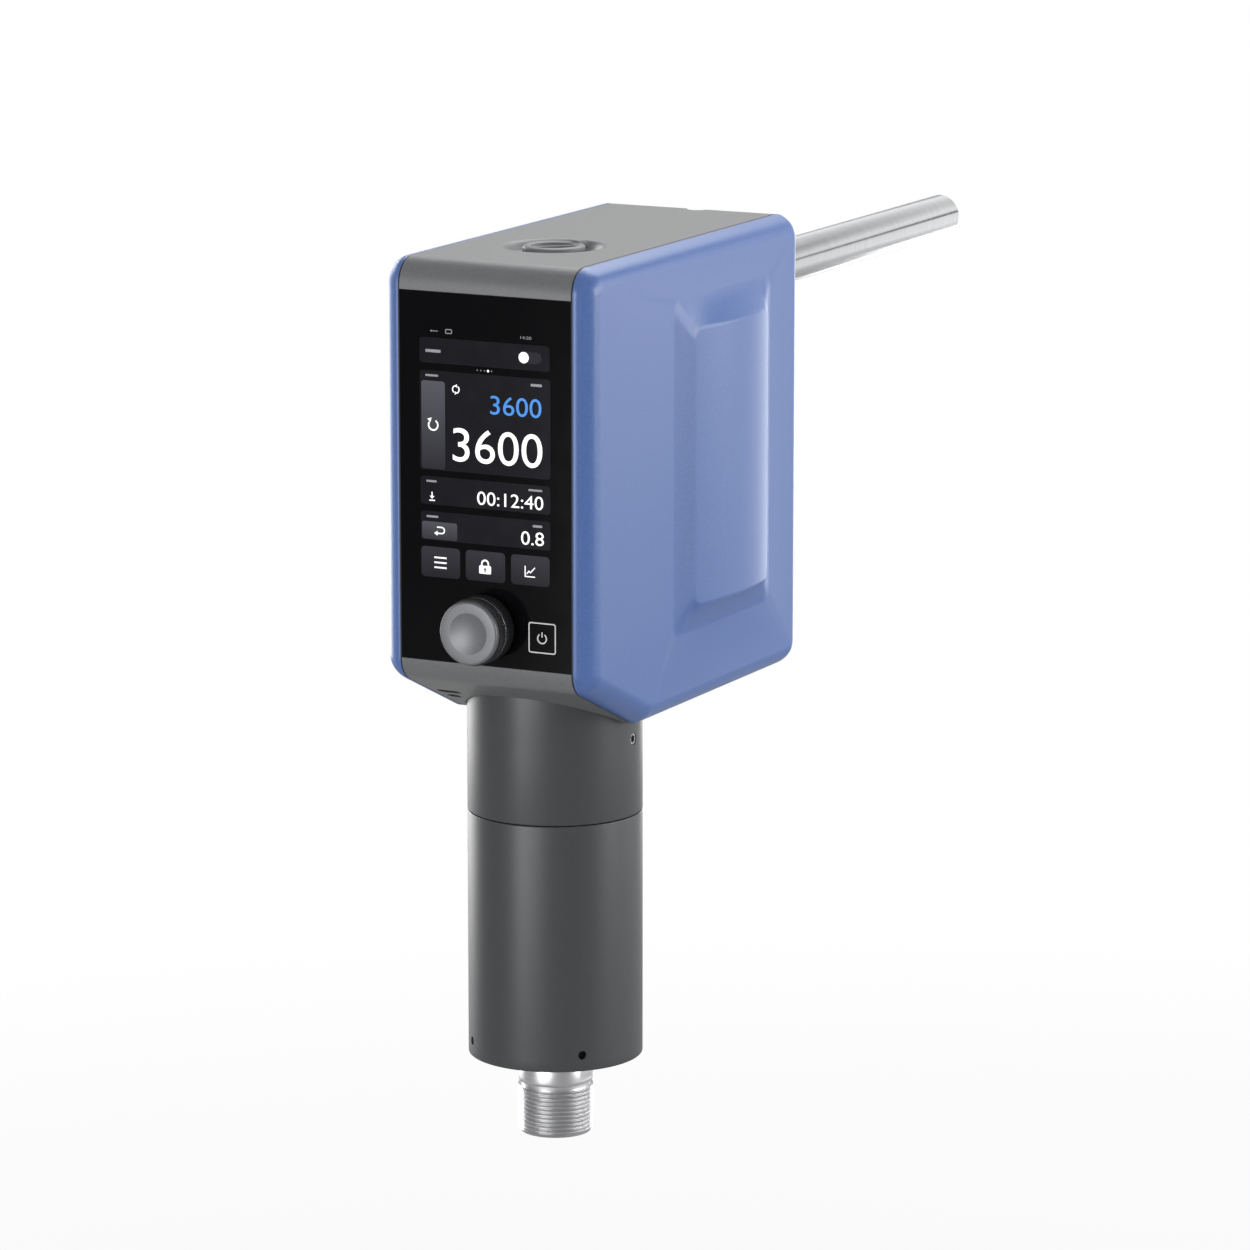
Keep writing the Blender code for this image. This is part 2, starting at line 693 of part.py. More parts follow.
def dish_profile():
    """Cutter for the finger dish: a soft S-shaped wall from the rim down to a flat floor."""
    steps = 6
    profile = [(0.0, FRAME_WALL), (DISH_RADIUS, FRAME_WALL), (DISH_RADIUS, 0.0)]
    for step in range(1, steps + 1):
        share = step / steps
        drop = DISH_DEPTH * (1 - math.cos(math.pi * share)) / 2
        radius = DISH_RADIUS + (DISH_FLOOR_RADIUS - DISH_RADIUS) * share
        profile.append((radius, -drop))
    profile.append((0.0, -DISH_DEPTH))
    return profile


def board_boss_places():
    """Where the cast bosses stand that carry the control board."""
    places = []
    for drop in (STANDOFF_UPPER_DROP, STANDOFF_LOWER_DROP):
        places += [(-STANDOFF_SPREAD, drop), (STANDOFF_SPREAD, drop)]
    return places


def inlet_z(side):
    """Height of the inlet body's lower (-1) or upper (1) face."""
    return -INLET_DROP + side * INLET_HEIGHT / 2


def socket_list():
    """Name, place across and along the slope, and width of the two underside sockets."""
    return [
        ("data_socket", (DATA_SOCKET_X, DATA_SOCKET_BACK), DATA_SOCKET_WIDTH),
        ("sensor_socket", (SENSOR_SOCKET_X, SENSOR_SOCKET_BACK), SENSOR_SOCKET_WIDTH),
    ]


def slope_drop(back):
    """Depth of the sloped underside below the top face at a distance from the front."""
    return CHAMFER_DROP + (HOUSING_HEIGHT - CHAMFER_DROP) * back / CHAMFER_RUN


def socket_slot(name, place, half_width, spare, depth, finish=STEEL, open_end=True):
    """A round-ended slot sunk square to the sloped underside, to a depth."""
    half_height = SOCKET_HEIGHT / 2 + spare
    across, back = place
    outline = rounded(
        [
            (-half_width, -half_height, half_height * 0.98),
            (half_width, -half_height, half_height * 0.98),
            (half_width, half_height, half_height * 0.98),
            (-half_width, half_height, half_height * 0.98),
        ],
        COARSE_ARC_STEP,
    )
    proud = depth if open_end else 0.0
    length = depth + proud
    normal = Vector((0, math.sin(SOCKET_PITCH), math.cos(SOCKET_PITCH)))
    middle = Vector((across, back, -slope_drop(back))) + normal * (depth - length / 2)
    return plate(name, [outline], length, finish, middle, (-SOCKET_PITCH, 0, 0))


def build_underside_sockets():
    for name, place, width in socket_list():
        shell = socket_slot(
            name, place, width / 2 + SOCKET_WALL, SOCKET_WALL, SOCKET_DEPTH, DARK_PLASTIC, False
        )
        mouth = socket_slot(
            name + "_mouth_cutter", place, width / 2, 0.0, SOCKET_DEPTH - 2 * SOCKET_WALL
        )
        cut(shell, mouth)


def pad_height(along, down):
    """Height of the cover's raised pad: crowned across, with skirts down to the face."""
    half_length = (PAD_BACK - PAD_FRONT) / 2
    half_height = (PAD_BOTTOM_DROP - PAD_TOP_DROP) / 2
    flat_length = half_length - PAD_END_SKIRT
    reach = min(abs(along) / flat_length, 1.0)
    crown = PAD_EDGE_HEIGHT + PAD_CROWN * (1 - reach * reach)
    end_share = min((half_length - abs(along)) / PAD_END_SKIRT, 1.0)
    side_share = min((half_height - abs(down)) / PAD_SIDE_SKIRT, 1.0)
    end_rise = (1 - math.cos(math.pi * max(end_share, 0.0))) / 2
    side_rise = max(side_share, 0.0) ** 1.3
    return crown * end_rise * side_rise


def pad_lines(half, skirt, flat_steps, skirt_steps):
    """Grid lines across the pad: even ones on the flat part, closer ones on its skirts."""
    flat = half - skirt
    middle = [flat * (2 * step / flat_steps - 1) for step in range(flat_steps + 1)]
    slope = [flat + skirt * step / skirt_steps for step in range(1, skirt_steps + 1)]
    return [-value for value in reversed(slope)] + middle + slope


def build_pad(name, finish):
    """The crowned pad as a grid raised by its height formula, with a root in the cover wall."""
    half_length = (PAD_BACK - PAD_FRONT) / 2
    half_height = (PAD_BOTTOM_DROP - PAD_TOP_DROP) / 2
    across = pad_lines(half_length, PAD_END_SKIRT, 8, 4)
    down = pad_lines(half_height, PAD_SIDE_SKIRT, 4, 3)
    work = bmesh.new()
    bmesh.ops.create_grid(work, x_segments=len(across) - 1, y_segments=len(down) - 1, size=0.5)
    for vertex in work.verts:
        column = round((vertex.co.x + 0.5) * (len(across) - 1))
        row = round((vertex.co.y + 0.5) * (len(down) - 1))
        vertex.co = (across[column], down[row], pad_height(across[column], down[row]))
    lifted = bmesh.ops.extrude_face_region(work, geom=work.faces[:])
    for vertex in lifted["geom"]:
        if isinstance(vertex, bmesh.types.BMVert):
            vertex.co.z = -PAD_ROOT
    bmesh.ops.recalc_face_normals(work, faces=work.faces)
    mesh = bpy.data.meshes.new(name)
    work.to_mesh(mesh)
    work.free()
    place = (
        COVER_OUTER,
        (PAD_FRONT + PAD_BACK) / 2,
        -(PAD_TOP_DROP + PAD_BOTTOM_DROP) / 2,
    )
    return add(name, mesh, finish, place, SIDE_PLANE)


def build_covers():
    """The tray-shaped side covers: quarter-round edge, crowned pad and three clips each."""
    depth = COVER_OUTER - COVER_INNER
    cover = plate(
        "right_cover",
        [rounded(HOUSING_CORNERS)],
        depth,
        BLUE_PAINT,
        ((COVER_INNER + COVER_OUTER) / 2, 0, 0),
        SIDE_PLANE,
    )
    mark_outer_edges(cover.data, depth / 2 - MM / 100)
    rounding = cover.modifiers.new("quarter_round", "BEVEL")
    rounding.width = COVER_ROUND
    rounding.segments = 5
    rounding.limit_method = "WEIGHT"
    hollow = plate(
        "cover_hollow_cutter",
        [rounded(inset(HOUSING_CORNERS, COVER_WALL))],
        2 * (depth - COVER_WALL),
        BLUE_PAINT,
        (COVER_INNER, 0, 0),
        SIDE_PLANE,
    )
    cut(cover, hollow)
    join(cover, build_pad("cover_pad_tool", BLUE_PAINT))
    for label, along, up in clip_places():
        clip = box(
            "clip_tool_" + label,
            clip_corner(along, up, -1),
            clip_corner(along, up, 1),
            BLUE_PAINT,
        )
        join(cover, clip)
    mirrored(cover, "left_cover", BLUE_PAINT)


def mark_outer_edges(mesh, level):
    """Give full bevel weight to the sharp edges that lie above a level in the mesh's own Z."""
    work = bmesh.new()
    work.from_mesh(mesh)
    bmesh.ops.dissolve_limit(
        work, angle_limit=math.radians(1), verts=work.verts, edges=work.edges
    )
    weight = work.edges.layers.float.new("bevel_weight_edge")
    for edge in work.edges:
        outer = all(vertex.co.z > level for vertex in edge.verts)
        if outer and edge.calc_face_angle(0.0) > SHARP_ANGLE:
            edge[weight] = 1.0
    work.to_mesh(mesh)
    work.free()


def mirrored(piece, name, finish):
    """The other hand of a piece, across the middle of the width."""
    bpy.context.view_layer.update()
    graph = bpy.context.evaluated_depsgraph_get()
    mesh = bpy.data.meshes.new_from_object(piece.evaluated_get(graph))
    mesh.transform(DATUM.matrix_world.inverted() @ piece.matrix_world)
    mesh.transform(Matrix.Diagonal((-1, 1, 1, 1)))
    mesh.flip_normals()
    mesh.materials.clear()
    return add(name, mesh, finish)


def clip_places():
    """Label and place of each clip, against the inner faces of the top and bottom walls."""
    top = -(FRAME_WALL + FIT_GAP + CLIP_THICKNESS / 2)
    bottom = -(HOUSING_HEIGHT - FRAME_WALL - FIT_GAP - CLIP_THICKNESS / 2)
    middle = (SEAT_BACK + HOUSING_LENGTH) / 2
    return [
        ("top_front", HOUSING_LENGTH / 6, top),
        ("top_back", HOUSING_LENGTH * 5 / 6, top),
        ("bottom_back", middle, bottom),
    ]


def clip_corner(along, up, side):
    """Low or high corner of a clip, which reaches from the cover into the frame."""
    return (
        COVER_INNER - CLIP_REACH if side < 0 else COVER_OUTER - COVER_WALL / 2,
        along + side * CLIP_WIDTH / 2,
        up + side * CLIP_THICKNESS / 2,
    )


def build_front_glass():
    glass = box(
        "front_glass",
        (-HALF_FRAME, 0, -GLASS_BOTTOM_DROP),
        (HALF_FRAME, GLASS_THICKNESS, -GLASS_TOP_DROP),
        BLACK_GLASS,
    )
    hole = cylinder(
        "glass_hole_cutter",
        ENCODER_BUSH_RADIUS + FIT_GAP,
        4 * GLASS_THICKNESS,
        STEEL,
        (0, 0, -KNOB_DROP),
        TO_FRONT,
        steps=ROUND_STEPS,
    )
    cut(glass, hole)


def build_display():
    top = -DISPLAY_TOP_DROP
    half = DISPLAY_WIDTH / 2
    box(
        "display_module",
        (-half, GLASS_BACK, top - DISPLAY_HEIGHT),
        (half, GLASS_BACK + DISPLAY_THICKNESS, top),
        LIGHT_PLASTIC,
    )
    board_front = FRAME_WALL + STANDOFF_LENGTH + FIT_GAP
    middle = -(BOARD_TOP_DROP + BOARD_BOTTOM_DROP) / 2
    board = box(
        "control_board",
        (-BOARD_WIDTH / 2, board_front, -BOARD_BOTTOM_DROP),
        (BOARD_WIDTH / 2, board_front + BOARD_THICKNESS, -BOARD_TOP_DROP),
        BOARD_GREEN,
    )
    chip = box(
        "processor_tool",
        (-PROCESSOR_SIZE / 2, board_front + BOARD_THICKNESS / 2, middle - PROCESSOR_SIZE / 2),
        (
            PROCESSOR_SIZE / 2,
            board_front + BOARD_THICKNESS + PROCESSOR_HEIGHT,
            middle + PROCESSOR_SIZE / 2,
        ),
        DARK_PLASTIC,
    )
    socket = box(
        "ribbon_socket_tool",
        (ribbon_x(-1) - MM, board_front + BOARD_THICKNESS / 2, RIBBON_Z - 3 * MM),
        (ribbon_x(1) + MM, ribbon_front(), RIBBON_Z + 3 * MM),
        DARK_PLASTIC,
    )
    join(board, chip, socket)

def ribbon_x(side):
    """Edge of the ribbon cable across the width."""
    return RIBBON_MIDDLE + side * RIBBON_WIDTH / 2


def ribbon_front():
    """Where the ribbon cable's front end meets its socket on the control board."""
    return FRAME_WALL + FIT_GAP + STANDOFF_LENGTH + BOARD_THICKNESS + RIBBON_SOCKET


def build_knob():
    """A push-and-turn knob on the encoder's shaft, with the encoder behind the front wall."""
    push = pivot("knob_push_axis", (0, 0, -KNOB_DROP))
    turn = pivot("knob_turn_axis", (0, 0, 0), push)
    face = KNOB_REACH
    back = KNOB_STANDOFF
    ring_front = KNOB_RING_REACH + KNOB_RING_WIDTH / 2
    ring_back = KNOB_RING_REACH - KNOB_RING_WIDTH / 2
    core = KNOB_FACE_RADIUS - KNOB_WALL
    cap_back = ring_front + KNOB_CORE_DEPTH
    cap_side = face - KNOB_CAP_DEPTH
    dish = []
    steps = 5
    for step in range(steps + 1):
        share = step / steps
        depth = KNOB_DISH_DEPTH * (1 - share * share)
        dish.append((KNOB_DISH_RADIUS * share, face - depth))
    cap = dish + [
        (KNOB_FACE_RADIUS - KNOB_EDGE, face),
        (KNOB_FACE_RADIUS, face - KNOB_EDGE),
        (KNOB_FACE_RADIUS, cap_side),
        (core, cap_side),
        (core, cap_back),
        (0.0, cap_back),
    ]
    turned("knob_cap", cap, ALUMINIUM, turn=TO_FRONT, parent=turn)
    bore = core + FIT_GAP
    grip = ring(KNOB_RADIUS, bore, cap_side - FIT_GAP, ring_front + FIT_GAP / 2, GRIP_EDGE)
    turned("knob_grip", grip, RUBBER, turn=TO_FRONT, parent=turn)
    band = ring(KNOB_RADIUS - RING_STEP, bore, ring_front - FIT_GAP / 2, ring_back + FIT_GAP / 2)
    turned("knob_ring", band, ALUMINIUM, turn=TO_FRONT, parent=turn)
    shaft_hole = ENCODER_SHAFT_RADIUS + FIT_GAP
    body_bore = ENCODER_BUSH_RADIUS + 2 * FIT_GAP
    body = [
        (bore - FIT_GAP, cap_back - FIT_GAP),
        (bore - FIT_GAP, ring_back - FIT_GAP / 2),
        (KNOB_RADIUS, ring_back - FIT_GAP / 2),
        (KNOB_RADIUS, back),
        (body_bore, back),
        (body_bore, back + KNOB_WALL),
        (shaft_hole, back + KNOB_WALL),
        (shaft_hole, cap_back - FIT_GAP),
    ]
    turned("knob_body", body, DARK_PLASTIC, turn=TO_FRONT, parent=turn)
    shaft_front = cap_back - FIT_GAP
    shaft_back = -(FRAME_WALL + FIT_GAP + ENCODER_DEPTH / 2)
    cylinder(
        "encoder_shaft",
        ENCODER_SHAFT_RADIUS,
        shaft_front - shaft_back,
        STEEL,
        (0, -(shaft_front + shaft_back) / 2, 0),
        TO_FRONT,
        turn,
    )
    plunger_front = FRAME_WALL + 2 * FIT_GAP + ENCODER_DEPTH / 2
    cylinder(
        "switch_plunger",
        ENCODER_SHAFT_RADIUS - PLUNGER_STEP,
        PLUNGER_THICKNESS,
        LIGHT_PLASTIC,
        (0, plunger_front + PLUNGER_THICKNESS / 2, 0),
        TO_FRONT,
        push,
    )
    housing_front = FRAME_WALL + FIT_GAP
    encoder = box(
        "encoder_body",
        (-ENCODER_SIZE / 2, housing_front, -KNOB_DROP - ENCODER_SIZE / 2),
        (ENCODER_SIZE / 2, housing_front + ENCODER_DEPTH, -KNOB_DROP + ENCODER_SIZE / 2),
        DARK_PLASTIC,
    )
    bush_front = -(KNOB_STANDOFF - KNOB_TRAVEL)
    bush = cylinder(
        "encoder_bush_tool",
        ENCODER_BUSH_RADIUS,
        housing_front + MM - bush_front,
        STEEL,
        (0, (housing_front + MM + bush_front) / 2, -KNOB_DROP),
        TO_FRONT,
    )
    shaft_space = plunger_front + PLUNGER_THICKNESS + KNOB_TRAVEL + FIT_GAP
    bore_tool = cylinder(
        "encoder_bore_cutter",
        ENCODER_SHAFT_RADIUS + SLIP_GAP,
        2 * shaft_space,
        STEEL,
        (0, 0, -KNOB_DROP),
        TO_FRONT,
    )
    join(encoder, bush)
    cut(encoder, bore_tool)


def build_tubes():
    """The drive tube in two lengths, with the spigot ring that joins them."""
    seam = -TUBE_SEAM_DROP
    upper = ring(TUBE_RADIUS, TUBE_INNER, -(SEAT_DROP + FIT_GAP), seam + FIT_GAP / 2)
    upper_tube = turned("upper_tube", upper, TUBE_PAINT, (0, TUBE_AXIS, 0), steps=FINE_STEPS)
    rim = -TUBE_RIM_DROP
    lower = [
        (TUBE_RADIUS, seam - FIT_GAP / 2),
        (TUBE_RADIUS, rim + RIM_CHAMFER),
        (TUBE_RADIUS - RIM_CHAMFER, rim),
        (TUBE_INNER, rim),
        (TUBE_INNER, seam - FIT_GAP / 2),
    ]
    lower_tube = turned("lower_tube", lower, TUBE_PAINT, (0, TUBE_AXIS, 0), steps=FINE_STEPS)
    outer = TUBE_INNER - FIT_GAP
    spigot = ring(outer, outer - SPIGOT_WALL, seam + SPIGOT_DEPTH, seam - SPIGOT_DEPTH)
    turned("seam_spigot", spigot, ALUMINIUM, (0, TUBE_AXIS, 0), steps=INNER_STEPS)
    radial_screws(upper_tube, "tube_grub_screw", GRUB_RADIUS, GRUB_DROP, (0, 180), GRUB_SUNK)
    radial_screws(
        lower_tube, "rim_screw", RIM_SCREW_RADIUS, RIM_SCREW_DROP, RIM_SCREW_ANGLES, RIM_SCREW_SUNK
    )


def radial_screws(tube, name, radius, drop, angles, sunk):
    """Headless screws set in radial holes round a tube, sunk below its face."""
    for number, degrees in enumerate(angles, 1):
        angle = math.radians(degrees)
        turn = (0, math.pi / 2, angle)
        hole = cylinder(
            f"{name}_hole_cutter_{degrees}",
            radius + FIT_GAP / 2,
            4 * TUBE_WALL,
            STEEL,
            on_circle(TUBE_RADIUS, angle, -drop),
            turn,
        )
        cut(tube, hole)
        length = TUBE_WALL - sunk
        centre = TUBE_INNER + length / 2
        cylinder(f"{name}_{number}", radius, length, STEEL, on_circle(centre, angle, -drop), turn)


def on_circle(radius, angle, height):
    return (radius * math.cos(angle), TUBE_AXIS + radius * math.sin(angle), height)


def build_drive_ends():
    """The bolted flange inside the housing and the base at the rim, which hold the bearings."""
    floor = -SEAT_DROP + FIT_GAP
    spigot_radius = TUBE_INNER - FIT_GAP
    seat = BEARING_RADIUS + SLIP_GAP
    shoulder = SPINDLE_RADIUS + SHAFT_CLEARANCE
    flange = plate(
        "tube_flange",
        [
            rectangle(
                -FLANGE_HALF_WIDTH,
                TUBE_AXIS - FLANGE_HALF_LENGTH,
                FLANGE_HALF_WIDTH,
                TUBE_AXIS + FLANGE_HALF_LENGTH,
                FLANGE_CORNER,
            )
        ],
        FLANGE_THICKNESS,
        ALUMINIUM,
        (0, 0, floor + FLANGE_THICKNESS / 2),
        (0, 0, 0),
    )
    spigot = cylinder(
        "flange_spigot_tool",
        spigot_radius,
        SPIGOT_DEPTH,
        ALUMINIUM,
        (0, TUBE_AXIS, floor - SPIGOT_DEPTH / 2 + FIT_GAP / 2),
        steps=FINE_STEPS,
    )
    join(flange, spigot)
    bottom = floor - SPIGOT_DEPTH + FIT_GAP / 2
    bearing_top = bottom + BEARING_WIDTH + SLIP_GAP
    seat_tool = cylinder(
        "flange_seat_cutter",
        seat,
        2 * (bearing_top - bottom),
        STEEL,
        (0, TUBE_AXIS, bottom),
        steps=ROUND_STEPS,
    )
    shaft_tool = cylinder(
        "flange_bore_cutter",
        shoulder,
        4 * FLANGE_THICKNESS,
        STEEL,
        (0, TUBE_AXIS, floor),
        steps=ROUND_STEPS,
    )
    cut(flange, seat_tool, shaft_tool)
    for across in (-1, 1):
        for along in (-1, 1):
            place = (
                across * (FLANGE_HALF_WIDTH - HEAD_MARGIN),
                TUBE_AXIS + along * (FLANGE_HALF_LENGTH - HEAD_MARGIN),
                floor + FLANGE_THICKNESS + HEAD_HEIGHT / 2,
            )
            join(flange, hex_head("flange_screw_tool", place))
    bearing("upper_bearing", bearing_top - SLIP_GAP - BEARING_WIDTH / 2)
    rim = -TUBE_RIM_DROP
    top = rim + BASE_THICKNESS
    lower_seat = top - BEARING_WIDTH - SLIP_GAP
    base = [
        (spigot_radius, top),
        (spigot_radius, rim),
        (COLLAR_SPIGOT_RADIUS + FIT_GAP, rim),
        (COLLAR_SPIGOT_RADIUS + FIT_GAP, rim + COLLAR_SPIGOT_LENGTH + FIT_GAP),
        (shoulder, rim + COLLAR_SPIGOT_LENGTH + FIT_GAP),
        (shoulder, lower_seat),
        (seat, lower_seat),
        (seat, top),
    ]
    plate_piece = turned("base_plate", base, TUBE_PAINT, (0, TUBE_AXIS, 0), steps=FINE_STEPS)
    circle = TUBE_INNER - PLATE_SCREW_HEAD - PLATE_SCREW_MARGIN
    head_length = PLATE_SCREW_SINK + PLATE_SCREW_PROUD - FIT_GAP
    for quarter in range(4):
        angle = quarter * math.pi / 2
        sink = cylinder(
            f"base_screw_cutter_{quarter}",
            PLATE_SCREW_HEAD + FIT_GAP,
            2 * PLATE_SCREW_SINK,
            STEEL,
            on_circle(circle, angle, rim),
        )
        cut(plate_piece, sink)
        middle = rim + PLATE_SCREW_SINK - FIT_GAP - head_length / 2
        cylinder(
            f"base_screw_{quarter + 1}",
            PLATE_SCREW_HEAD,
            head_length,
            STEEL,
            on_circle(circle, angle, middle),
        )
    bearing("lower_bearing", lower_seat + SLIP_GAP + BEARING_WIDTH / 2)


def bearing(name, height):
    """A ball bearing: a fixed outer ring, an inner ring on the spindle, and its balls."""
    half = BEARING_WIDTH / 2
    inner_bore = SPINDLE_RADIUS + SLIP_GAP
    track = (BEARING_RADIUS + inner_bore) / 2
    ball = (BEARING_RADIUS - inner_bore) / 2 - BEARING_RACE - FIT_GAP
    outer = ring(BEARING_RADIUS, BEARING_RADIUS - BEARING_RACE, height + half, height - half)
    turned(name + "_outer", outer, STEEL, (0, TUBE_AXIS, 0), steps=INNER_STEPS)
    inner = ring(inner_bore + BEARING_RACE, inner_bore, height + half, height - half)
    turned(name + "_inner", inner, STEEL, parent=SPINDLE_AXIS, steps=INNER_STEPS)
    web = ring(track + CAGE_WALL / 2, track - CAGE_WALL / 2, height + ball, height - ball)
    cage = turned(name + "_balls", web, STEEL, parent=SPINDLE_AXIS, steps=2 * BEARING_BALLS)
    for index in range(BEARING_BALLS):
        angle = 2 * math.pi * (index + 0.5) / BEARING_BALLS
        work = bmesh.new()
        bmesh.ops.create_uvsphere(work, u_segments=6, v_segments=4, radius=ball)
        mesh = bpy.data.meshes.new(name)
        work.to_mesh(mesh)
        work.free()
        place = (track * math.cos(angle), track * math.sin(angle), height)
        join(cage, add(f"{name}_ball_tool_{index}", mesh, STEEL, place, parent=SPINDLE_AXIS))


def stator_bore_outline(radius_yoke):
    """The bore of the laminations: T-shaped teeth with slots between them."""
    pitch = 2 * math.pi / STATOR_TEETH
    neck = STATOR_TOOTH / 2
    shoe = STATOR_BORE + STATOR_SHOE
    points = []
    for tooth in range(STATOR_TEETH):
        middle = tooth * pitch
        at_yoke = math.asin(neck / radius_yoke)
        at_shoe = math.asin(neck / shoe)
        tip = SHOE_SHARE * pitch / 2
        for radius, angle in (
            (radius_yoke, -at_yoke),
            (shoe, -at_shoe),
            (shoe, -tip),
            (STATOR_BORE, -tip),
            (STATOR_BORE / math.cos(tip / 2), -tip / 2),
            (STATOR_BORE, 0.0),
            (STATOR_BORE / math.cos(tip / 2), tip / 2),
            (STATOR_BORE, tip),
            (shoe, tip),
            (shoe, at_shoe),
            (radius_yoke, at_yoke),
        ):
            points.append((radius * math.cos(middle + angle), radius * math.sin(middle + angle)))
    return points


def circle_outline(radius, steps):
    angles = [2 * math.pi * step / steps for step in range(steps)]
    return [(radius * math.cos(angle), radius * math.sin(angle)) for angle in angles]


def build_motor():
    """Brushless motor round the spindle: toothed stator, end windings, rotor and magnets."""
    outer = TUBE_INNER - SLIP_GAP
    middle = -(STATOR_TOP_DROP + STATOR_LENGTH / 2)
    yoke = outer - STATOR_YOKE
    plate(
        "stator_core",
        [circle_outline(outer, FINE_STEPS), stator_bore_outline(yoke)],
        STATOR_LENGTH,
        STEEL,
        (0, TUBE_AXIS, middle),
        (0, 0, 0),
    )
    winding_inner = STATOR_BORE + STATOR_SHOE + MM
    winding_outer = yoke - MM
    reach = STATOR_LENGTH / 2 + FIT_GAP
    rings = []
    for side in (-1, 1):
        ends = (middle + side * reach, middle + side * (reach + WINDING_HEIGHT))
        profile = ring(winding_outer, winding_inner, max(ends), min(ends))
        rings.append(turned("stator_windings", profile, COPPER, (0, TUBE_AXIS, 0), steps=INNER_STEPS))
    windings = rings[0]
    join(windings, rings[1])
    for tooth in range(STATOR_TEETH):
        angle = 2 * math.pi * (tooth + 0.5) / STATOR_TEETH
        bar = box(
            f"slot_bar_tool_{tooth}",
            (winding_inner + SLOT_INSET, -STATOR_TOOTH / 2, middle - reach - MM),
            (winding_outer - SLOT_INSET, STATOR_TOOTH / 2, middle + reach + MM),
            COPPER,
        )
        radius = bar.location.x
        bar.location = on_circle(radius, angle, middle)
        bar.rotation_euler = (0, 0, angle)
        join(windings, bar)
    magnet_outer = STATOR_BORE - AIR_GAP
    magnet_inner = magnet_outer - MAGNET_THICKNESS
    top = middle + STATOR_LENGTH / 2
    bottom = middle - STATOR_LENGTH / 2
    magnets = ring(magnet_outer, magnet_inner, top, bottom)
    turned("rotor_magnets", magnets, DARK_PLASTIC, parent=SPINDLE_AXIS, steps=INNER_STEPS)
    core = ring(magnet_inner - SLIP_GAP, SPINDLE_RADIUS + SLIP_GAP, top, bottom)
    turned("rotor_core", core, STEEL, parent=SPINDLE_AXIS, steps=INNER_STEPS)


def build_spindle():
    """The hollow spindle, from the guide tube down into the collar, slotted at its nose."""
    nose = -(TUBE_RIM_DROP + COLLAR_LENGTH - NOSE_RECESS)
    profile = [
        (SPINDLE_RADIUS - SPINDLE_EDGE, -SPINDLE_TOP_DROP),
        (SPINDLE_RADIUS, -SPINDLE_TOP_DROP - SPINDLE_EDGE),
        (SPINDLE_RADIUS, nose + SPINDLE_EDGE),
        (SPINDLE_RADIUS - SPINDLE_EDGE, nose),
        (SPINDLE_BORE, nose),
        (SPINDLE_BORE, -SPINDLE_TOP_DROP),
    ]
    spindle = turned("spindle", profile, STEEL, parent=SPINDLE_AXIS)
    slot = box(
        "drive_slot_cutter",
        (-SPINDLE_RADIUS * 2, -DRIVE_SLOT_WIDTH / 2, nose - DRIVE_SLOT_DEPTH),
        (SPINDLE_RADIUS * 2, DRIVE_SLOT_WIDTH / 2, nose + DRIVE_SLOT_DEPTH),
        STEEL,
        SPINDLE_AXIS,
    )
    cut(spindle, slot)


def build_collar():
    """The screw-on collar under the base, with wrench flats, and the seal in its bore."""
    rim = -TUBE_RIM_DROP
    end = rim - COLLAR_LENGTH
    neck_end = rim - NECK_LENGTH
    profile = [
        (COLLAR_SPIGOT_RADIUS, rim + COLLAR_SPIGOT_LENGTH),
        (COLLAR_SPIGOT_RADIUS, rim - FIT_GAP),
        (NECK_RADIUS, rim - FIT_GAP),
        (NECK_RADIUS, neck_end),
        (GROOVE_RADIUS, neck_end),
        (GROOVE_RADIUS, neck_end - GROOVE_WIDTH),
        (COLLAR_RADIUS - COLLAR_CHAMFER, neck_end - GROOVE_WIDTH),
        (COLLAR_RADIUS, neck_end - GROOVE_WIDTH - COLLAR_CHAMFER),
        (COLLAR_RADIUS, end + COLLAR_CHAMFER),
        (COLLAR_RADIUS - COLLAR_CHAMFER, end),
        (COLLAR_BORE, end),
        (COLLAR_BORE, rim + COLLAR_SPIGOT_LENGTH),
    ]
    collar = turned("threaded_collar", profile, STEEL, (0, TUBE_AXIS, 0), steps=FINE_STEPS)
    for side in (-1, 1):
        near = side * FLATS_ACROSS / 2
        far = side * 2 * COLLAR_RADIUS
        flat = box(
            f"flat_cutter_{side}",
            (min(near, far), TUBE_AXIS - COLLAR_RADIUS * 2, neck_end),
            (max(near, far), TUBE_AXIS + COLLAR_RADIUS * 2, rim - 2 * FIT_GAP - MM),
            STEEL,
        )
        cut(collar, flat)
    seal_top = rim + SEAL_WIDTH / 2
    seal = ring(COLLAR_BORE - SLIP_GAP, SPINDLE_RADIUS + SLIP_GAP, seal_top, seal_top - SEAL_WIDTH)
    turned("shaft_seal", seal, RUBBER, (0, TUBE_AXIS, 0), steps=INNER_STEPS)


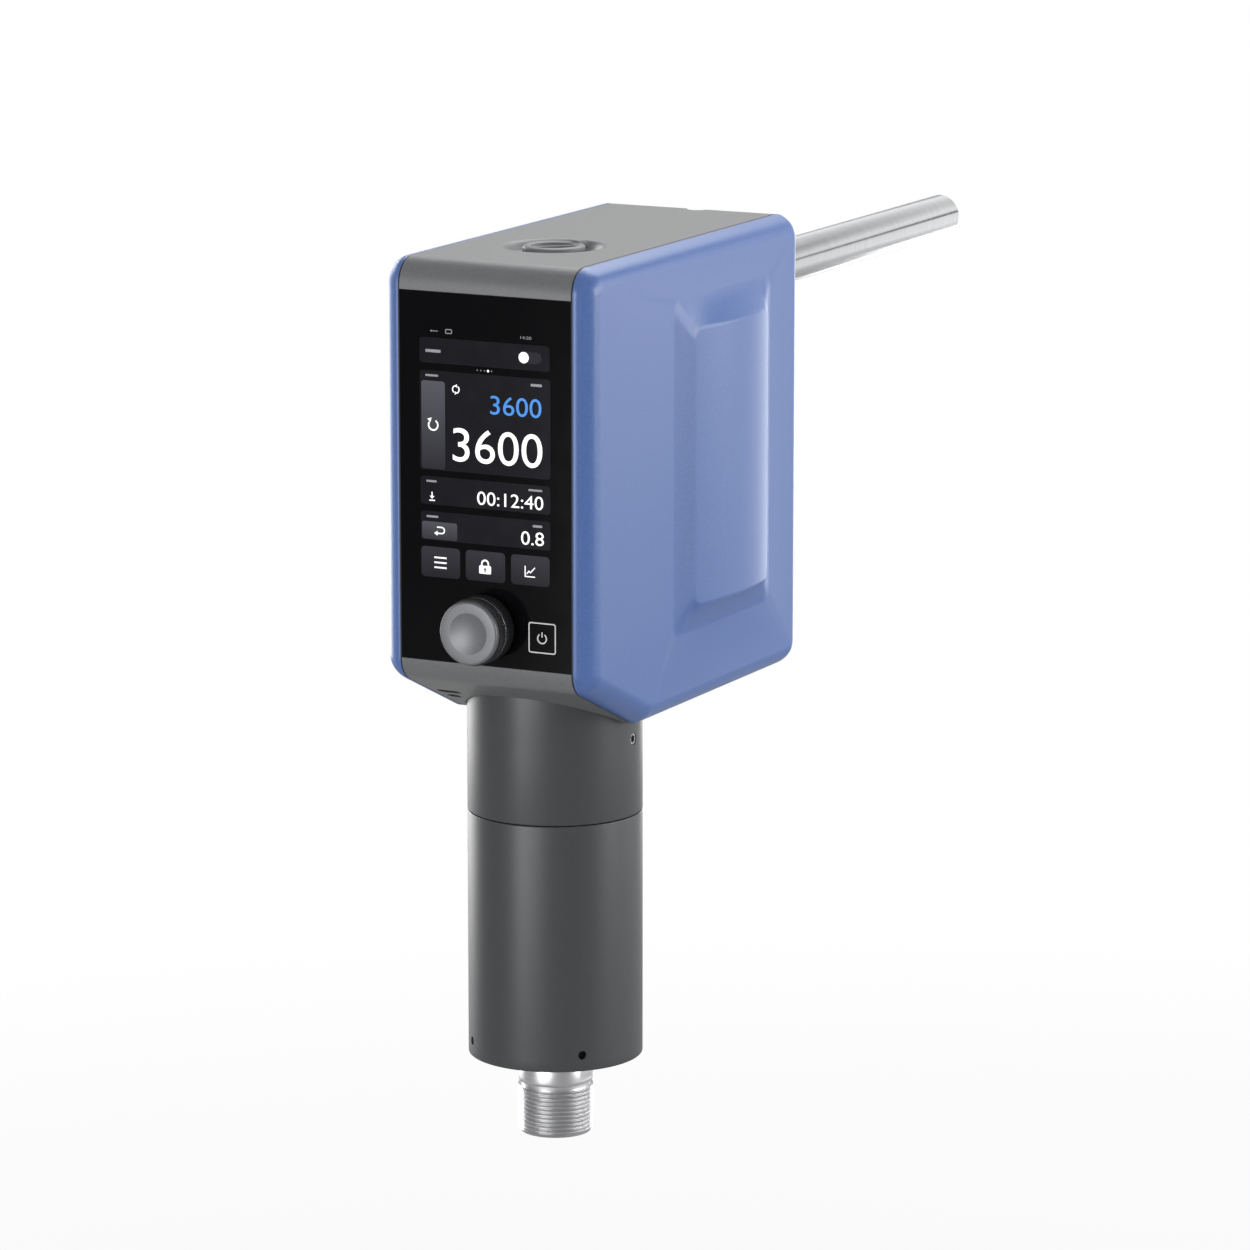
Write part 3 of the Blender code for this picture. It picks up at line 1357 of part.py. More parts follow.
def build_support_rod():
    """The rod out of the back and the split block inside that clamps it."""
    block_back = HOUSING_LENGTH - FRAME_WALL - FIT_GAP
    block_front = block_back - CLAMP_DEPTH
    front = block_front - ROD_INSET
    length = HOUSING_LENGTH + ROD_EXPOSED - front
    profile = [
        (0.0, length),
        (ROD_RADIUS - ROD_CHAMFER, length),
        (ROD_RADIUS, length - ROD_CHAMFER),
        (ROD_RADIUS, ROD_CHAMFER),
        (ROD_RADIUS - ROD_CHAMFER, 0.0),
        (0.0, 0.0),
    ]
    turned("support_rod", profile, STEEL, (0, front, -ROD_DROP), TO_BACK)
    block = box(
        "rod_clamp_block",
        (-CLAMP_HALF_WIDTH, block_front, -ROD_DROP - CLAMP_HALF_HEIGHT),
        (CLAMP_HALF_WIDTH, block_back, -ROD_DROP + CLAMP_HALF_HEIGHT),
        ALUMINIUM,
    )
    bore = cylinder(
        "clamp_bore_cutter",
        ROD_RADIUS + SLIP_GAP,
        4 * CLAMP_DEPTH,
        STEEL,
        (0, block_front, -ROD_DROP),
        TO_BACK,
        steps=BORE_STEPS,
    )
    slit = box(
        "clamp_slit_cutter",
        (0, 0, -ROD_DROP - CLAMP_SLIT / 2),
        (2 * CLAMP_HALF_WIDTH, 2 * HOUSING_LENGTH, -ROD_DROP + CLAMP_SLIT / 2),
        STEEL,
    )
    cut(block, bore, slit)
    screw_x = (ROD_RADIUS + CLAMP_HALF_WIDTH) / 2
    for number, share in enumerate((0.25, 0.75), 1):
        along = block_front + CLAMP_DEPTH * share
        hole = cylinder(
            f"clamp_screw_cutter_{number}",
            CLAMP_SCREW_RADIUS + SLIP_GAP,
            4 * CLAMP_HALF_HEIGHT,
            STEEL,
            (screw_x, along, -ROD_DROP),
        )
        cut(block, hole)
        cylinder(
            f"clamp_screw_{number}",
            CLAMP_SCREW_RADIUS,
            2 * CLAMP_HALF_HEIGHT,
            STEEL,
            (screw_x, along, -ROD_DROP),
        )
    for across in (-1, 1):
        for up in (-1, 1):
            place = (
                across * (CLAMP_HALF_WIDTH - HEAD_MARGIN),
                block_front - HEAD_HEIGHT / 2,
                -ROD_DROP + up * (CLAMP_HALF_HEIGHT - HEAD_MARGIN),
            )
            join(block, hex_head("block_screw_tool", place, TO_FRONT))


def build_cap():
    """The lift-out cap over the spindle passage, its seal and the guide tube below it."""
    floor = -DISH_DEPTH
    lift = pivot("cap_lift_axis", (0, TUBE_AXIS, floor + FIT_GAP))
    groove = CAP_STEM_RADIUS - SEAL_GROOVE_DEPTH
    seal_height = -CAP_STEM_LENGTH / 2
    half_groove = SEAL_CORD_RADIUS + SLIP_GAP
    recess = CAP_HEIGHT - CAP_RECESS_DEPTH
    profile = [
        (0.0, recess),
        (CAP_RECESS_RADIUS, recess),
        (CAP_RECESS_RADIUS + CAP_EDGE_STEP, CAP_HEIGHT - CAP_EDGE_STEP),
        (CAP_RECESS_RADIUS + CAP_EDGE, CAP_HEIGHT),
        (CAP_RADIUS - CAP_EDGE, CAP_HEIGHT),
        (CAP_RADIUS - CAP_EDGE_STEP, CAP_HEIGHT - CAP_EDGE_STEP),
        (CAP_RADIUS, CAP_HEIGHT - CAP_EDGE),
        (CAP_RADIUS, 0.0),
        (CAP_STEM_RADIUS, 0.0),
        (CAP_STEM_RADIUS, seal_height + half_groove),
        (groove, seal_height + half_groove),
        (groove, seal_height - half_groove),
        (CAP_STEM_RADIUS, seal_height - half_groove),
        (CAP_STEM_RADIUS, -CAP_STEM_LENGTH + MM),
        (CAP_STEM_RADIUS - MM, -CAP_STEM_LENGTH),
        (0.0, -CAP_STEM_LENGTH),
    ]
    cap = turned("top_cap", profile, CAP_PLASTIC, parent=lift, steps=INNER_STEPS)
    middle = CAP_RADIUS + CAP_TAB_REACH
    tab = box(
        "cap_tab_tool",
        (-CAP_TAB_LENGTH / 2, -CAP_TAB_WIDTH / 2, -CAP_TAB_THICKNESS / 2),
        (CAP_TAB_LENGTH / 2, CAP_TAB_WIDTH / 2, CAP_TAB_THICKNESS / 2),
        CAP_PLASTIC,
        lift,
        (0, 0, CAP_TAB_ANGLE),
    )
    tab.location = (
        middle * math.cos(CAP_TAB_ANGLE),
        middle * math.sin(CAP_TAB_ANGLE),
        CAP_HEIGHT + CAP_TAB_PROUD - CAP_TAB_THICKNESS / 2,
    )
    bevel(tab, CAP_TAB_EDGE)
    bar = box(
        "cap_bar_tool",
        (-CAP_RECESS_RADIUS - CAP_BAR_ROOT, -CAP_BAR_WIDTH / 2, recess - MM),
        (CAP_RECESS_RADIUS + CAP_BAR_ROOT, CAP_BAR_WIDTH / 2, recess + CAP_BAR_HEIGHT),
        CAP_PLASTIC,
        lift,
        (0, 0, CAP_BAR_ANGLE),
    )
    join(cap, tab, bar)
    cord = []
    centre = groove + SEAL_CORD_RADIUS + SLIP_GAP
    for step in range(SEAL_SIDES):
        angle = math.pi / 2 - 2 * math.pi * step / SEAL_SIDES
        across = centre + SEAL_CORD_RADIUS * math.cos(angle)
        cord.append((across, seal_height + SEAL_CORD_RADIUS * math.sin(angle)))
    turned("cap_seal", cord, RUBBER, parent=lift, steps=INNER_STEPS)
    outer = GUIDE_BORE + GUIDE_WALL
    flange_top = -(FRAME_WALL + FIT_GAP)
    guide = [
        (outer, floor),
        (outer, flange_top),
        (GUIDE_FLANGE_RADIUS, flange_top),
        (GUIDE_FLANGE_RADIUS, flange_top - GUIDE_FLANGE_THICKNESS),
        (outer, flange_top - GUIDE_FLANGE_THICKNESS),
        (outer, -SPINDLE_TOP_DROP + MM),
        (GUIDE_BORE, -SPINDLE_TOP_DROP + MM),
        (GUIDE_BORE, floor),
    ]
    turned("guide_tube", guide, LIGHT_PLASTIC, (0, TUBE_AXIS, 0), steps=INNER_STEPS)


def build_power_inlet():
    """Mains inlet in the back wall: shroud with a lip outside, and three flat pins."""
    face = HOUSING_LENGTH + FIT_GAP + INLET_LIP_THICKNESS
    shroud = box(
        "power_inlet",
        (-INLET_WIDTH / 2, HOUSING_LENGTH - INLET_DEPTH, inlet_z(-1)),
        (INLET_WIDTH / 2, face, inlet_z(1)),
        DARK_PLASTIC,
    )
    lip = box(
        "inlet_lip_tool",
        (-INLET_WIDTH / 2 - INLET_LIP, HOUSING_LENGTH + FIT_GAP, inlet_z(-1) - INLET_LIP),
        (INLET_WIDTH / 2 + INLET_LIP, face, inlet_z(1) + INLET_LIP),
        DARK_PLASTIC,
    )
    join(shroud, lip)
    half_width = INLET_SPACE_WIDTH / 2
    half_height = INLET_SPACE_HEIGHT / 2
    corner = INLET_CORNER
    outline = [
        (-half_width, -half_height),
        (half_width, -half_height),
        (half_width, half_height - corner),
        (half_width - corner, half_height),
        (corner - half_width, half_height),
        (-half_width, half_height - corner),
    ]
    space = plate(
        "inlet_space_cutter",
        [outline],
        2 * INLET_SPACE_DEPTH,
        STEEL,
        (0, face, -INLET_DROP),
        TO_FRONT,
    )
    cut(shroud, space)
    floor = face - INLET_SPACE_DEPTH
    for number, (across, up) in enumerate(((-PIN_SPACING, -1), (PIN_SPACING, -1), (0.0, 1))):
        middle = -INLET_DROP + up * PIN_OFFSET / 2
        pin = box(
            f"inlet_pin_tool_{number}",
            (across - PIN_THICKNESS / 2, floor - MM, middle - PIN_WIDTH / 2),
            (across + PIN_THICKNESS / 2, floor + PIN_LENGTH, middle + PIN_WIDTH / 2),
            STEEL,
        )
        join(shroud, pin)


def build_supply():
    """The power supply board on the housing floor, its parts and the ribbon to the front."""
    floor = -(HOUSING_HEIGHT - FRAME_WALL)
    back = HOUSING_LENGTH - FRAME_WALL - SUPPLY_BACK_GAP
    low = floor + FIT_GAP + SUPPLY_STANDOFF
    top = low + BOARD_THICKNESS
    board = box(
        "supply_board",
        (-SUPPLY_HALF_WIDTH, SUPPLY_FRONT, low),
        (SUPPLY_HALF_WIDTH, back, top),
        BOARD_GREEN,
    )
    socket = box(
        "supply_socket_tool",
        (ribbon_x(-1) - MM, SUPPLY_FRONT + MM, low + BOARD_THICKNESS / 2),
        (ribbon_x(1) + MM, SUPPLY_FRONT + MM + RIBBON_SOCKET_DEPTH, top + RIBBON_SOCKET),
        DARK_PLASTIC,
    )
    join(board, socket)
    foot = SUPPLY_STANDOFF + BOARD_THICKNESS / 2
    for across in (-1, 1):
        for along in (SUPPLY_FRONT + SUPPLY_FOOT_MARGIN, back - SUPPLY_FOOT_MARGIN):
            place = (
                across * (SUPPLY_HALF_WIDTH - SUPPLY_FOOT_MARGIN),
                along,
                floor + FIT_GAP + foot / 2,
            )
            join(board, cylinder("supply_foot_tool", STANDOFF_RADIUS, foot, ALUMINIUM, place))
    seat = top + FIT_GAP
    parts_front = SUPPLY_FRONT + MM + RIBBON_SOCKET_DEPTH + SUPPLY_PART_MARGIN
    choke_side = -SUPPLY_HALF_WIDTH + SUPPLY_PART_MARGIN
    box(
        "supply_choke",
        (choke_side, parts_front, seat),
        (choke_side + CHOKE_SIZE, parts_front + CHOKE_SIZE, seat + CHOKE_HEIGHT),
        COPPER,
    )
    for row in range(2):
        along = parts_front + CAPACITOR_RADIUS + row * (2 * CAPACITOR_RADIUS + CAPACITOR_GAP)
        cylinder(
            f"supply_capacitor_{row + 1}",
            CAPACITOR_RADIUS,
            CAPACITOR_HEIGHT,
            DARK_PLASTIC,
            (RIBBON_MIDDLE, along, seat + CAPACITOR_HEIGHT / 2),
        )
    half = RIBBON_THICKNESS / 2
    front = ribbon_front() + FIT_GAP
    down = SUPPLY_FRONT + MM + RIBBON_SOCKET_DEPTH / 2
    end = top + RIBBON_SOCKET + FIT_GAP
    path = [
        (front, RIBBON_Z + half, 0.0),
        (down + half, RIBBON_Z + half, RIBBON_BEND + half),
        (down + half, end, 0.0),
        (down - half, end, 0.0),
        (down - half, RIBBON_Z - half, RIBBON_BEND - half),
        (front, RIBBON_Z - half, 0.0),
    ]
    plate(
        "ribbon_cable",
        [rounded(path)],
        RIBBON_WIDTH,
        LIGHT_PLASTIC,
        (RIBBON_MIDDLE, 0, 0),
        SIDE_PLANE,
    )


def build():
    build_centre_frame()
    build_covers()
    build_front_glass()
    build_display()
    build_knob()
    build_underside_sockets()
    build_tubes()
    build_drive_ends()
    build_motor()
    build_spindle()
    build_collar()
    build_support_rod()
    build_cap()
    build_power_inlet()
    build_supply()
    bpy.context.view_layer.update()


SPINDLE_AXIS = pivot("spindle_axis", (0, TUBE_AXIS, 0))
build()
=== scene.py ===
"""Looks of the overhead stirrer: finishes, fine surfaces, display, lights and camera.

Shapes are worked out in millimetres from the housing's datum, the middle of the width at
the front glass plane and the top face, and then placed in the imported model's frame.
"""

import math

import bmesh
import bpy
import numpy as np
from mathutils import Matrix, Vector


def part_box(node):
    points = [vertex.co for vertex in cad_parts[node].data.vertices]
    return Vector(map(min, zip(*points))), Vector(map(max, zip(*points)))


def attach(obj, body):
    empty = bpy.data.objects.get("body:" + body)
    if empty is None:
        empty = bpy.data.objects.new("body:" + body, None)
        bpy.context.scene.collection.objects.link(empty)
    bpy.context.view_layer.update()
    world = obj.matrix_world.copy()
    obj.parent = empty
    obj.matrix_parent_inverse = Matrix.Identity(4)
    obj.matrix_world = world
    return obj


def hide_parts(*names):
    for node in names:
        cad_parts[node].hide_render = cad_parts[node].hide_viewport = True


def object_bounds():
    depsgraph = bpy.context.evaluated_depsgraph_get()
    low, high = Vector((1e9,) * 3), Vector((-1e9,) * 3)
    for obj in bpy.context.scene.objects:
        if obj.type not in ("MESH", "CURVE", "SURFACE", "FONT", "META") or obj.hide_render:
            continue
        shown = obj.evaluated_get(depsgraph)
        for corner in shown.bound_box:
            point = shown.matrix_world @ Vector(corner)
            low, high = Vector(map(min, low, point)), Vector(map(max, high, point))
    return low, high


bl_info = {
    "name": "Overhead stirrer looks",
    "version": (1, 0, 0),
    "blender": (4, 5, 0),
    "location": "View3D > Sidebar > Stirrer",
    "description": "Finishes and fine surfaces of an overhead stirrer",
    "category": "Object",
}

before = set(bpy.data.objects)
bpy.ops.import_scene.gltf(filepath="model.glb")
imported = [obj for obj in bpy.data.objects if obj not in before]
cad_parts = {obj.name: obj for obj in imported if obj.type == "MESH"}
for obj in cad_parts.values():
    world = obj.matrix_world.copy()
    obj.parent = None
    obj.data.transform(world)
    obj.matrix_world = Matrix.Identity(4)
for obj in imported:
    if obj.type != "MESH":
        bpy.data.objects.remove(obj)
CAD_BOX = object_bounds()

MM = 0.001
CASTING_LOW, CASTING_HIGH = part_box("centre_frame")
DATUM = np.array([0.0, CASTING_LOW[1], CASTING_HIGH[2]])


def mm_box(name):
    """A node's corners in millimetres from the housing's datum."""
    low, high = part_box(name)
    return (np.array(low) - DATUM) / MM, (np.array(high) - DATUM) / MM


def middle(name):
    """The middle of a node's box in millimetres from the housing's datum."""
    low, high = mm_box(name)
    return (low + high) / 2


HOUSING_LENGTH = mm_box("centre_frame")[1][1]
HOUSING_BOTTOM = mm_box("centre_frame")[0][2]
HALF_FRAME = mm_box("centre_frame")[1][0]
COVER_PEAK = mm_box("right_cover")[1][0]
TUBE_LOW, TUBE_HIGH = mm_box("lower_tube")
TUBE_AXIS = (TUBE_LOW[1] + TUBE_HIGH[1]) / 2
TUBE_RADIUS = (TUBE_HIGH[1] - TUBE_LOW[1]) / 2
KNOB_HEIGHT = middle("knob_body")[2]
ROD_HEIGHT = middle("support_rod")[2]
TUBE_COLUMNS = 192
BASE_FACE = mm_box("base_plate")[0][2]
THREAD_DROP = 11.9
THREAD_TOP = BASE_FACE - THREAD_DROP
TUBE_WALL = 2.7
TUBE_TOP_EDGE = 0.35
TUBE_INNER_EDGE = 0.2
MESH_WELD = 1e-4


def size_setting(name, description, default):
    return bpy.props.FloatProperty(name=name, description=description, default=default)


def colour_setting(name, description, default):
    return bpy.props.StringProperty(name=name, description=description, default=default)


class StirrerSizes(bpy.types.PropertyGroup):
    """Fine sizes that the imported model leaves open, in millimetres but for the angle and count."""

    cover_round: size_setting("Cover rounding", "How far in the covers' round edge runs", 7.2)
    lip_width: size_setting("Lip width", "Width of the covers' flat lip beside the seam", 1.2)
    lip_angle: size_setting("Lip crease", "Degrees at which the round edge leaves the lip", 30.0)
    lip_break: size_setting("Lip edge", "Radius that breaks the covers' edge at the seam", 0.5)
    thread_pitch: size_setting("Thread pitch", "Pitch of the collar's thread", 1.5)
    thread_depth: size_setting("Thread depth", "Depth of the collar's thread", 0.85)
    grip_ribs: bpy.props.IntProperty(
        name="Grip ribs",
        description="Number of fine ribs round the knob's grip",
        default=90,
    )


class StirrerColours(bpy.types.PropertyGroup):
    """Colours of the main finishes, as sRGB hex values."""

    casting: colour_setting("Casting", "Powder coat on the centre casting", "#7C7D7F")
    cover: colour_setting("Covers", "Powder coat on the side covers", "#597ABD")
    tube: colour_setting("Drive tube", "Sprayed coat on the drive tube", "#484A4C")
    glass: colour_setting("Front glass", "Black print behind the front glass", "#0B090C")
    backdrop: colour_setting("Backdrop", "Paper under and behind the stirrer", "#A0A0A0")


def sizes():
    return bpy.context.scene.stirrer_sizes


def colours():
    return bpy.context.scene.stirrer_colours


# Meshes from arrays

# Front and back of the display's and print's thin layers, measured from the glass.
CARD_LAYER = (-0.05, -0.01)
KEY_LAYER = (-0.10, -0.06)
INK_LAYER = (-0.15, -0.11)
MARK_LAYER = (-0.20, -0.16)


def grid_faces(rows, columns, wrap_rows=False, wrap_columns=False, keep=None):
    """Quads between each point of a grid and its neighbours in the next row and column.

    keep, an array of truth values with a place for each quad, leaves some of them out.
    """
    row, column = np.meshgrid(
        np.arange(rows if wrap_rows else rows - 1),
        np.arange(columns if wrap_columns else columns - 1),
        indexing="ij",
    )
    next_row = (row + 1) % rows
    next_column = (column + 1) % columns
    quads = np.stack(
        [
            row * columns + column,
            row * columns + next_column,
            next_row * columns + next_column,
            next_row * columns + column,
        ],
        axis=-1,
    )
    kept = quads if keep is None else quads[keep]
    return kept.reshape(-1, 4).tolist()


class Shape:
    """Points in millimetres from the datum, with faces, gathered part by part."""

    def __init__(self):
        self.points = []
        self.faces = []
        self.count = 0

    def add(self, points, faces):
        """Append points of shape (n, 3) and faces numbered from their own first point."""
        self.faces += [[index + self.count for index in face] for face in faces]
        self.points.append(points)
        self.count += len(points)

    def add_grid(self, grid, wrap_rows=False, wrap_columns=False, cap_first=False, cap_last=False):
        """Append a grid of shape (rows, columns, 3), with flat faces over its end rows if asked."""
        rows, columns = grid.shape[:2]
        faces = grid_faces(rows, columns, wrap_rows, wrap_columns)
        if cap_first:
            faces.append(list(range(columns)))
        if cap_last:
            faces.append(list(range((rows - 1) * columns, rows * columns)))
        self.add(grid.reshape(-1, 3), faces)

    def mesh(self, name, mirror=False):
        """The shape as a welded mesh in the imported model's frame, with its faces outward."""
        points = np.concatenate(self.points)
        if mirror:
            points = points * np.array([-1.0, 1.0, 1.0])
        made = bpy.data.meshes.new(name)
        made.from_pydata((points * MM + DATUM).tolist(), [], self.faces)
        work = bmesh.new()
        work.from_mesh(made)
        bmesh.ops.remove_doubles(work, verts=work.verts, dist=MESH_WELD * MM)
        bmesh.ops.dissolve_degenerate(work, edges=work.edges, dist=MESH_WELD * MM)
        bmesh.ops.recalc_face_normals(work, faces=work.faces)
        work.to_mesh(made)
        work.free()
        return made


def add_object(name, data):
    made = bpy.data.objects.new(name, data)
    bpy.context.scene.collection.objects.link(made)
    return made


def piece(shape, name, finish, body="root", nodes=(), sharp=35.0, mirror=False):
    """Make a shape an object with its finish, riding on a body in place of the named nodes."""
    mesh = shape.mesh(name, mirror=mirror)
    mesh.shade_smooth()
    mesh.set_sharp_from_angle(angle=math.radians(sharp))
    made = add_object(name, mesh)
    mesh.materials.append(MATERIALS[finish])
    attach(made, body)
    if nodes:
        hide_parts(*nodes)


def bends(corners, steps=8, closed=True):
    """A line through (across, up, radius) corners, each bend an arc tangent to both runs."""
    corners = np.array(corners, float)
    found = []
    for index, (across, up, radius) in enumerate(corners):
        place = np.array([across, up])
        at_end = not closed and index in (0, len(corners) - 1)
        if radius <= 0 or at_end:
            found.append(place[None, :])
            continue
        before = corners[index - 1, :2] - place
        after = corners[(index + 1) % len(corners), :2] - place
        before /= np.linalg.norm(before)
        after /= np.linalg.norm(after)
        half = math.acos(np.clip(before @ after, -1, 1)) / 2
        centre = place + (before + after) / np.linalg.norm(before + after) * radius / math.sin(half)
        first = place + before * radius / math.tan(half) - centre
        last = place + after * radius / math.tan(half) - centre
        sweep = math.pi - 2 * half
        share = np.linspace(0, 1, steps + 1)[:, None]
        arc_points = first * np.sin((1 - share) * sweep) + last * np.sin(share * sweep)
        found.append(centre + arc_points / math.sin(sweep))
    return np.concatenate(found)


def moved_in(corners, distance):
    """Corners of a closed outline moved inward along their bisectors, bends tightened to match."""
    corners = np.array(corners, float)
    ahead = np.roll(corners[:, :2], -1, axis=0) - corners[:, :2]
    ahead /= np.linalg.norm(ahead, axis=1)[:, None]
    area = np.sum(
        corners[:, 0] * np.roll(corners[:, 1], -1) - np.roll(corners[:, 0], -1) * corners[:, 1]
    )
    normal = np.stack([-ahead[:, 1], ahead[:, 0]], axis=1) * np.sign(area)
    previous = np.roll(normal, 1, axis=0)
    step = (normal + previous) / (1 + np.sum(normal * previous, axis=1))[:, None]
    made = corners.copy()
    made[:, :2] += step * distance
    made[:, 2] = np.maximum(corners[:, 2] - distance, 0.05)
    return made


def turned(profile, centre, axis="z", steps=128, ripple=None):
    """A profile of (radius, along) carried round an axis through a centre.

    Point = centre + radius (cos a, sin a) square to the axis + along the axis. A ripple is a
    function of the angle, the distance along and the radius, which is added to the radius.
    """
    angle = np.linspace(0, 2 * math.pi, steps, endpoint=False)
    radius, along, angle = np.broadcast_arrays(profile[:, :1], profile[:, 1:], angle)
    if ripple is not None:
        radius = radius + ripple(angle, along, radius)
    across = radius * np.cos(angle)
    up = radius * np.sin(angle)
    if axis == "z":
        return np.stack([centre[0] + across, centre[1] + up, along], axis=-1)
    return np.stack([centre[0] + across, along, centre[2] + up], axis=-1)


def solid(grid, **ends):
    """A shape of one grid, with its ends joined or capped as add_grid is told."""
    shape = Shape()
    shape.add_grid(grid, **ends)
    return shape


def sleeve(bore, bore_edge, radius, edge, front, back):
    """Corners of a plain turned ring, for the lathe, with an edge radius inside and outside."""
    return [
        (bore, front, bore_edge),
        (radius, front, edge),
        (radius, back, edge),
        (bore, back, bore_edge),
    ]


def lathed(corners, centre, steps, ripple=None, fillet_steps=5, closed=True):
    """A solid turned about Y from (radius, along, fillet) corners.

    It is a ring if the corners are closed, else it runs from pole to pole.
    """
    grid = turned(bends(corners, fillet_steps, closed), centre, "y", steps, ripple)
    return solid(grid, wrap_rows=closed, wrap_columns=True)


def upright(outline, depth):
    """Points of the front plane: across is X, up is Z and depth is Y."""
    return np.stack([outline[:, 0], np.full(len(outline), depth), outline[:, 1]], axis=-1)


def slab(shape, outline, layer):
    """Add a flat plate on the front plane: a closed outline of (across, up) points in a layer."""
    rows = [upright(outline, depth) for depth in layer]
    shape.add_grid(np.stack(rows), wrap_columns=True, cap_first=True, cap_last=True)


def line(shape, path, width, closed=False):
    """Add an ink line along a path: each point is offset by half the width both ways.

    The offset runs square to the path's tangent, lengthened at bends by one over the cosine
    of half the turn, so the line keeps its width.
    """
    path = np.array(path, float)
    ahead = np.roll(path, -1, axis=0) - path
    behind = path - np.roll(path, 1, axis=0)
    if not closed:
        ahead[-1] = behind[-1]
        behind[0] = ahead[0]
    ahead /= np.linalg.norm(ahead, axis=1)[:, None]
    behind /= np.linalg.norm(behind, axis=1)[:, None]
    tangent = ahead + behind
    tangent /= np.linalg.norm(tangent, axis=1)[:, None]
    cosine = np.clip(np.sum(tangent * ahead, axis=1), 0.35, 1)
    side = np.stack([-tangent[:, 1], tangent[:, 0]], axis=1) * (width / 2 / cosine)[:, None]
    left = path + side
    right = path - side
    front, back = INK_LAYER
    loop = [upright(left, front), upright(right, front), upright(right, back), upright(left, back)]
    grid = np.stack(loop, axis=1)
    ends = not closed
    shape.add_grid(grid, wrap_rows=closed, wrap_columns=True, cap_first=ends, cap_last=ends)


def arc(centre, radius, start, end, steps=24):
    """Points of an arc round a centre, angles in degrees from the right, anticlockwise."""
    angle = np.radians(np.linspace(start, end, steps + 1))
    return np.array(centre) + radius * np.stack([np.cos(angle), np.sin(angle)], axis=1)


def figures(shape, text, box):
    """Add numerals of the built-in typeface, stretched to fill a (left, bottom, right, top) box."""
    front, back = INK_LAYER
    data = bpy.data.curves.new("numerals", "FONT")
    data.body = text
    data.extrude = 0.5
    data.resolution_u = 6
    lettering = add_object("numerals", data)
    bpy.context.view_layer.update()
    graph = bpy.context.evaluated_depsgraph_get()
    mesh = bpy.data.meshes.new_from_object(lettering.evaluated_get(graph))
    count = len(mesh.vertices)
    flat = np.empty(count * 3)
    mesh.vertices.foreach_get("co", flat)
    flat = flat.reshape(-1, 3)
    low = flat.min(axis=0)
    share = (flat - low) / (flat.max(axis=0) - low)
    left, bottom, right, top = box
    across = left + (right - left) * share[:, 0]
    up = bottom + (top - bottom) * share[:, 1]
    depth = back + (front - back) * share[:, 2]
    faces = [list(item.vertices) for item in mesh.polygons]
    shape.add(np.stack([across, depth, up], axis=1), faces)
    bpy.data.objects.remove(lettering, do_unlink=True)
    bpy.data.curves.remove(data)
    bpy.data.meshes.remove(mesh)


def box_outline(left, bottom, right, top, radius, steps=6):
    """A rectangle's closed outline with round corners."""
    corners = [
        (left, bottom, radius),
        (right, bottom, radius),
        (right, top, radius),
        (left, top, radius),
    ]
    return bends(corners, steps)


# Finishes

MATERIALS = {}
# The screen's grain in millimetres, its relief, its roughness and how far that varies.
SCREEN_GRAIN = (6.0, 0.0, 0.14, 0.03)


def linear(code):
    """An sRGB hex value as linear light, with full alpha."""
    values = [int(code[start : start + 2], 16) / 255 for start in (1, 3, 5)]
    light = [v / 12.92 if v <= 0.04045 else ((v + 0.055) / 1.055) ** 2.4 for v in values]
    return (*light, 1.0)


def shade(code, factor):
    """A hex value made darker or lighter by a factor."""
    values = [min(255, round(int(code[start : start + 2], 16) * factor)) for start in (1, 3, 5)]
    return "#" + "".join(f"{value:02X}" for value in values)


def feed(tree, target, inputs):
    """Set a node's inputs: each is a value, or a (node, socket) pair to link."""
    for name, value in inputs.items():
        if isinstance(value, tuple) and isinstance(value[0], bpy.types.Node):
            tree.links.new(value[0].outputs[value[1]], target.inputs[name])
        else:
            target.inputs[name].default_value = value


def node(tree, kind, inputs=None, stops=(), **settings):
    """Add a shader node with its inputs, its settings and, for a ramp, its colour stops."""
    made = tree.nodes.new(kind)
    for name, value in settings.items():
        setattr(made, name, value)
    feed(tree, made, inputs or {})
    for index, (place, code) in enumerate(stops):
        elements = made.color_ramp.elements
        element = elements[index] if index < len(elements) else elements.new(place)
        element.position = place
        element.color = linear(code)
    return made


def surface(name, code, grain, depth, roughness, spread=0.05, stretch=(1, 1, 1), tint=0.03, **more):
    """A finish with grain: noise of one size in millimetres varies tone, gloss and relief.

    A stretch below 1 along an axis draws the grain out that way, as tool lines are.
    """
    made = bpy.data.materials.new(name)
    made.use_nodes = True
    tree = made.node_tree
    shader = tree.nodes["Principled BSDF"]
    for socket, value in more.items():
        shader.inputs[socket.replace("_", " ")].default_value = value
    place = node(tree, "ShaderNodeTexCoord")
    scale = tuple(factor / (grain * MM) for factor in stretch)
    point = node(tree, "ShaderNodeMapping", {"Vector": (place, "Object"), "Scale": scale})
    noise = node(tree, "ShaderNodeTexNoise", {"Vector": (point, "Vector"), "Scale": 1.0, "Detail": 3.0})
    stops = [(0.3, shade(code, 1 - tint)), (0.7, shade(code, 1 + tint))]
    tone = node(tree, "ShaderNodeValToRGB", {"Fac": (noise, "Fac")}, stops=stops)
    reach = {"To Min": max(roughness - spread, 0.02), "To Max": min(roughness + spread, 1.0)}
    gloss = node(tree, "ShaderNodeMapRange", {"Value": (noise, "Fac"), **reach})
    feed(tree, shader, {"Base Color": (tone, "Color"), "Roughness": (gloss, "Result")})
    if "Emission_Strength" in more:
        feed(tree, shader, {"Emission Color": (tone, "Color")})
    if depth > 0:
        relief = {"Height": (noise, "Fac"), "Distance": depth * MM, "Strength": 0.6}
        bump = node(tree, "ShaderNodeBump", relief)
        feed(tree, shader, {"Normal": (bump, "Normal")})
    MATERIALS[name] = made
    return made


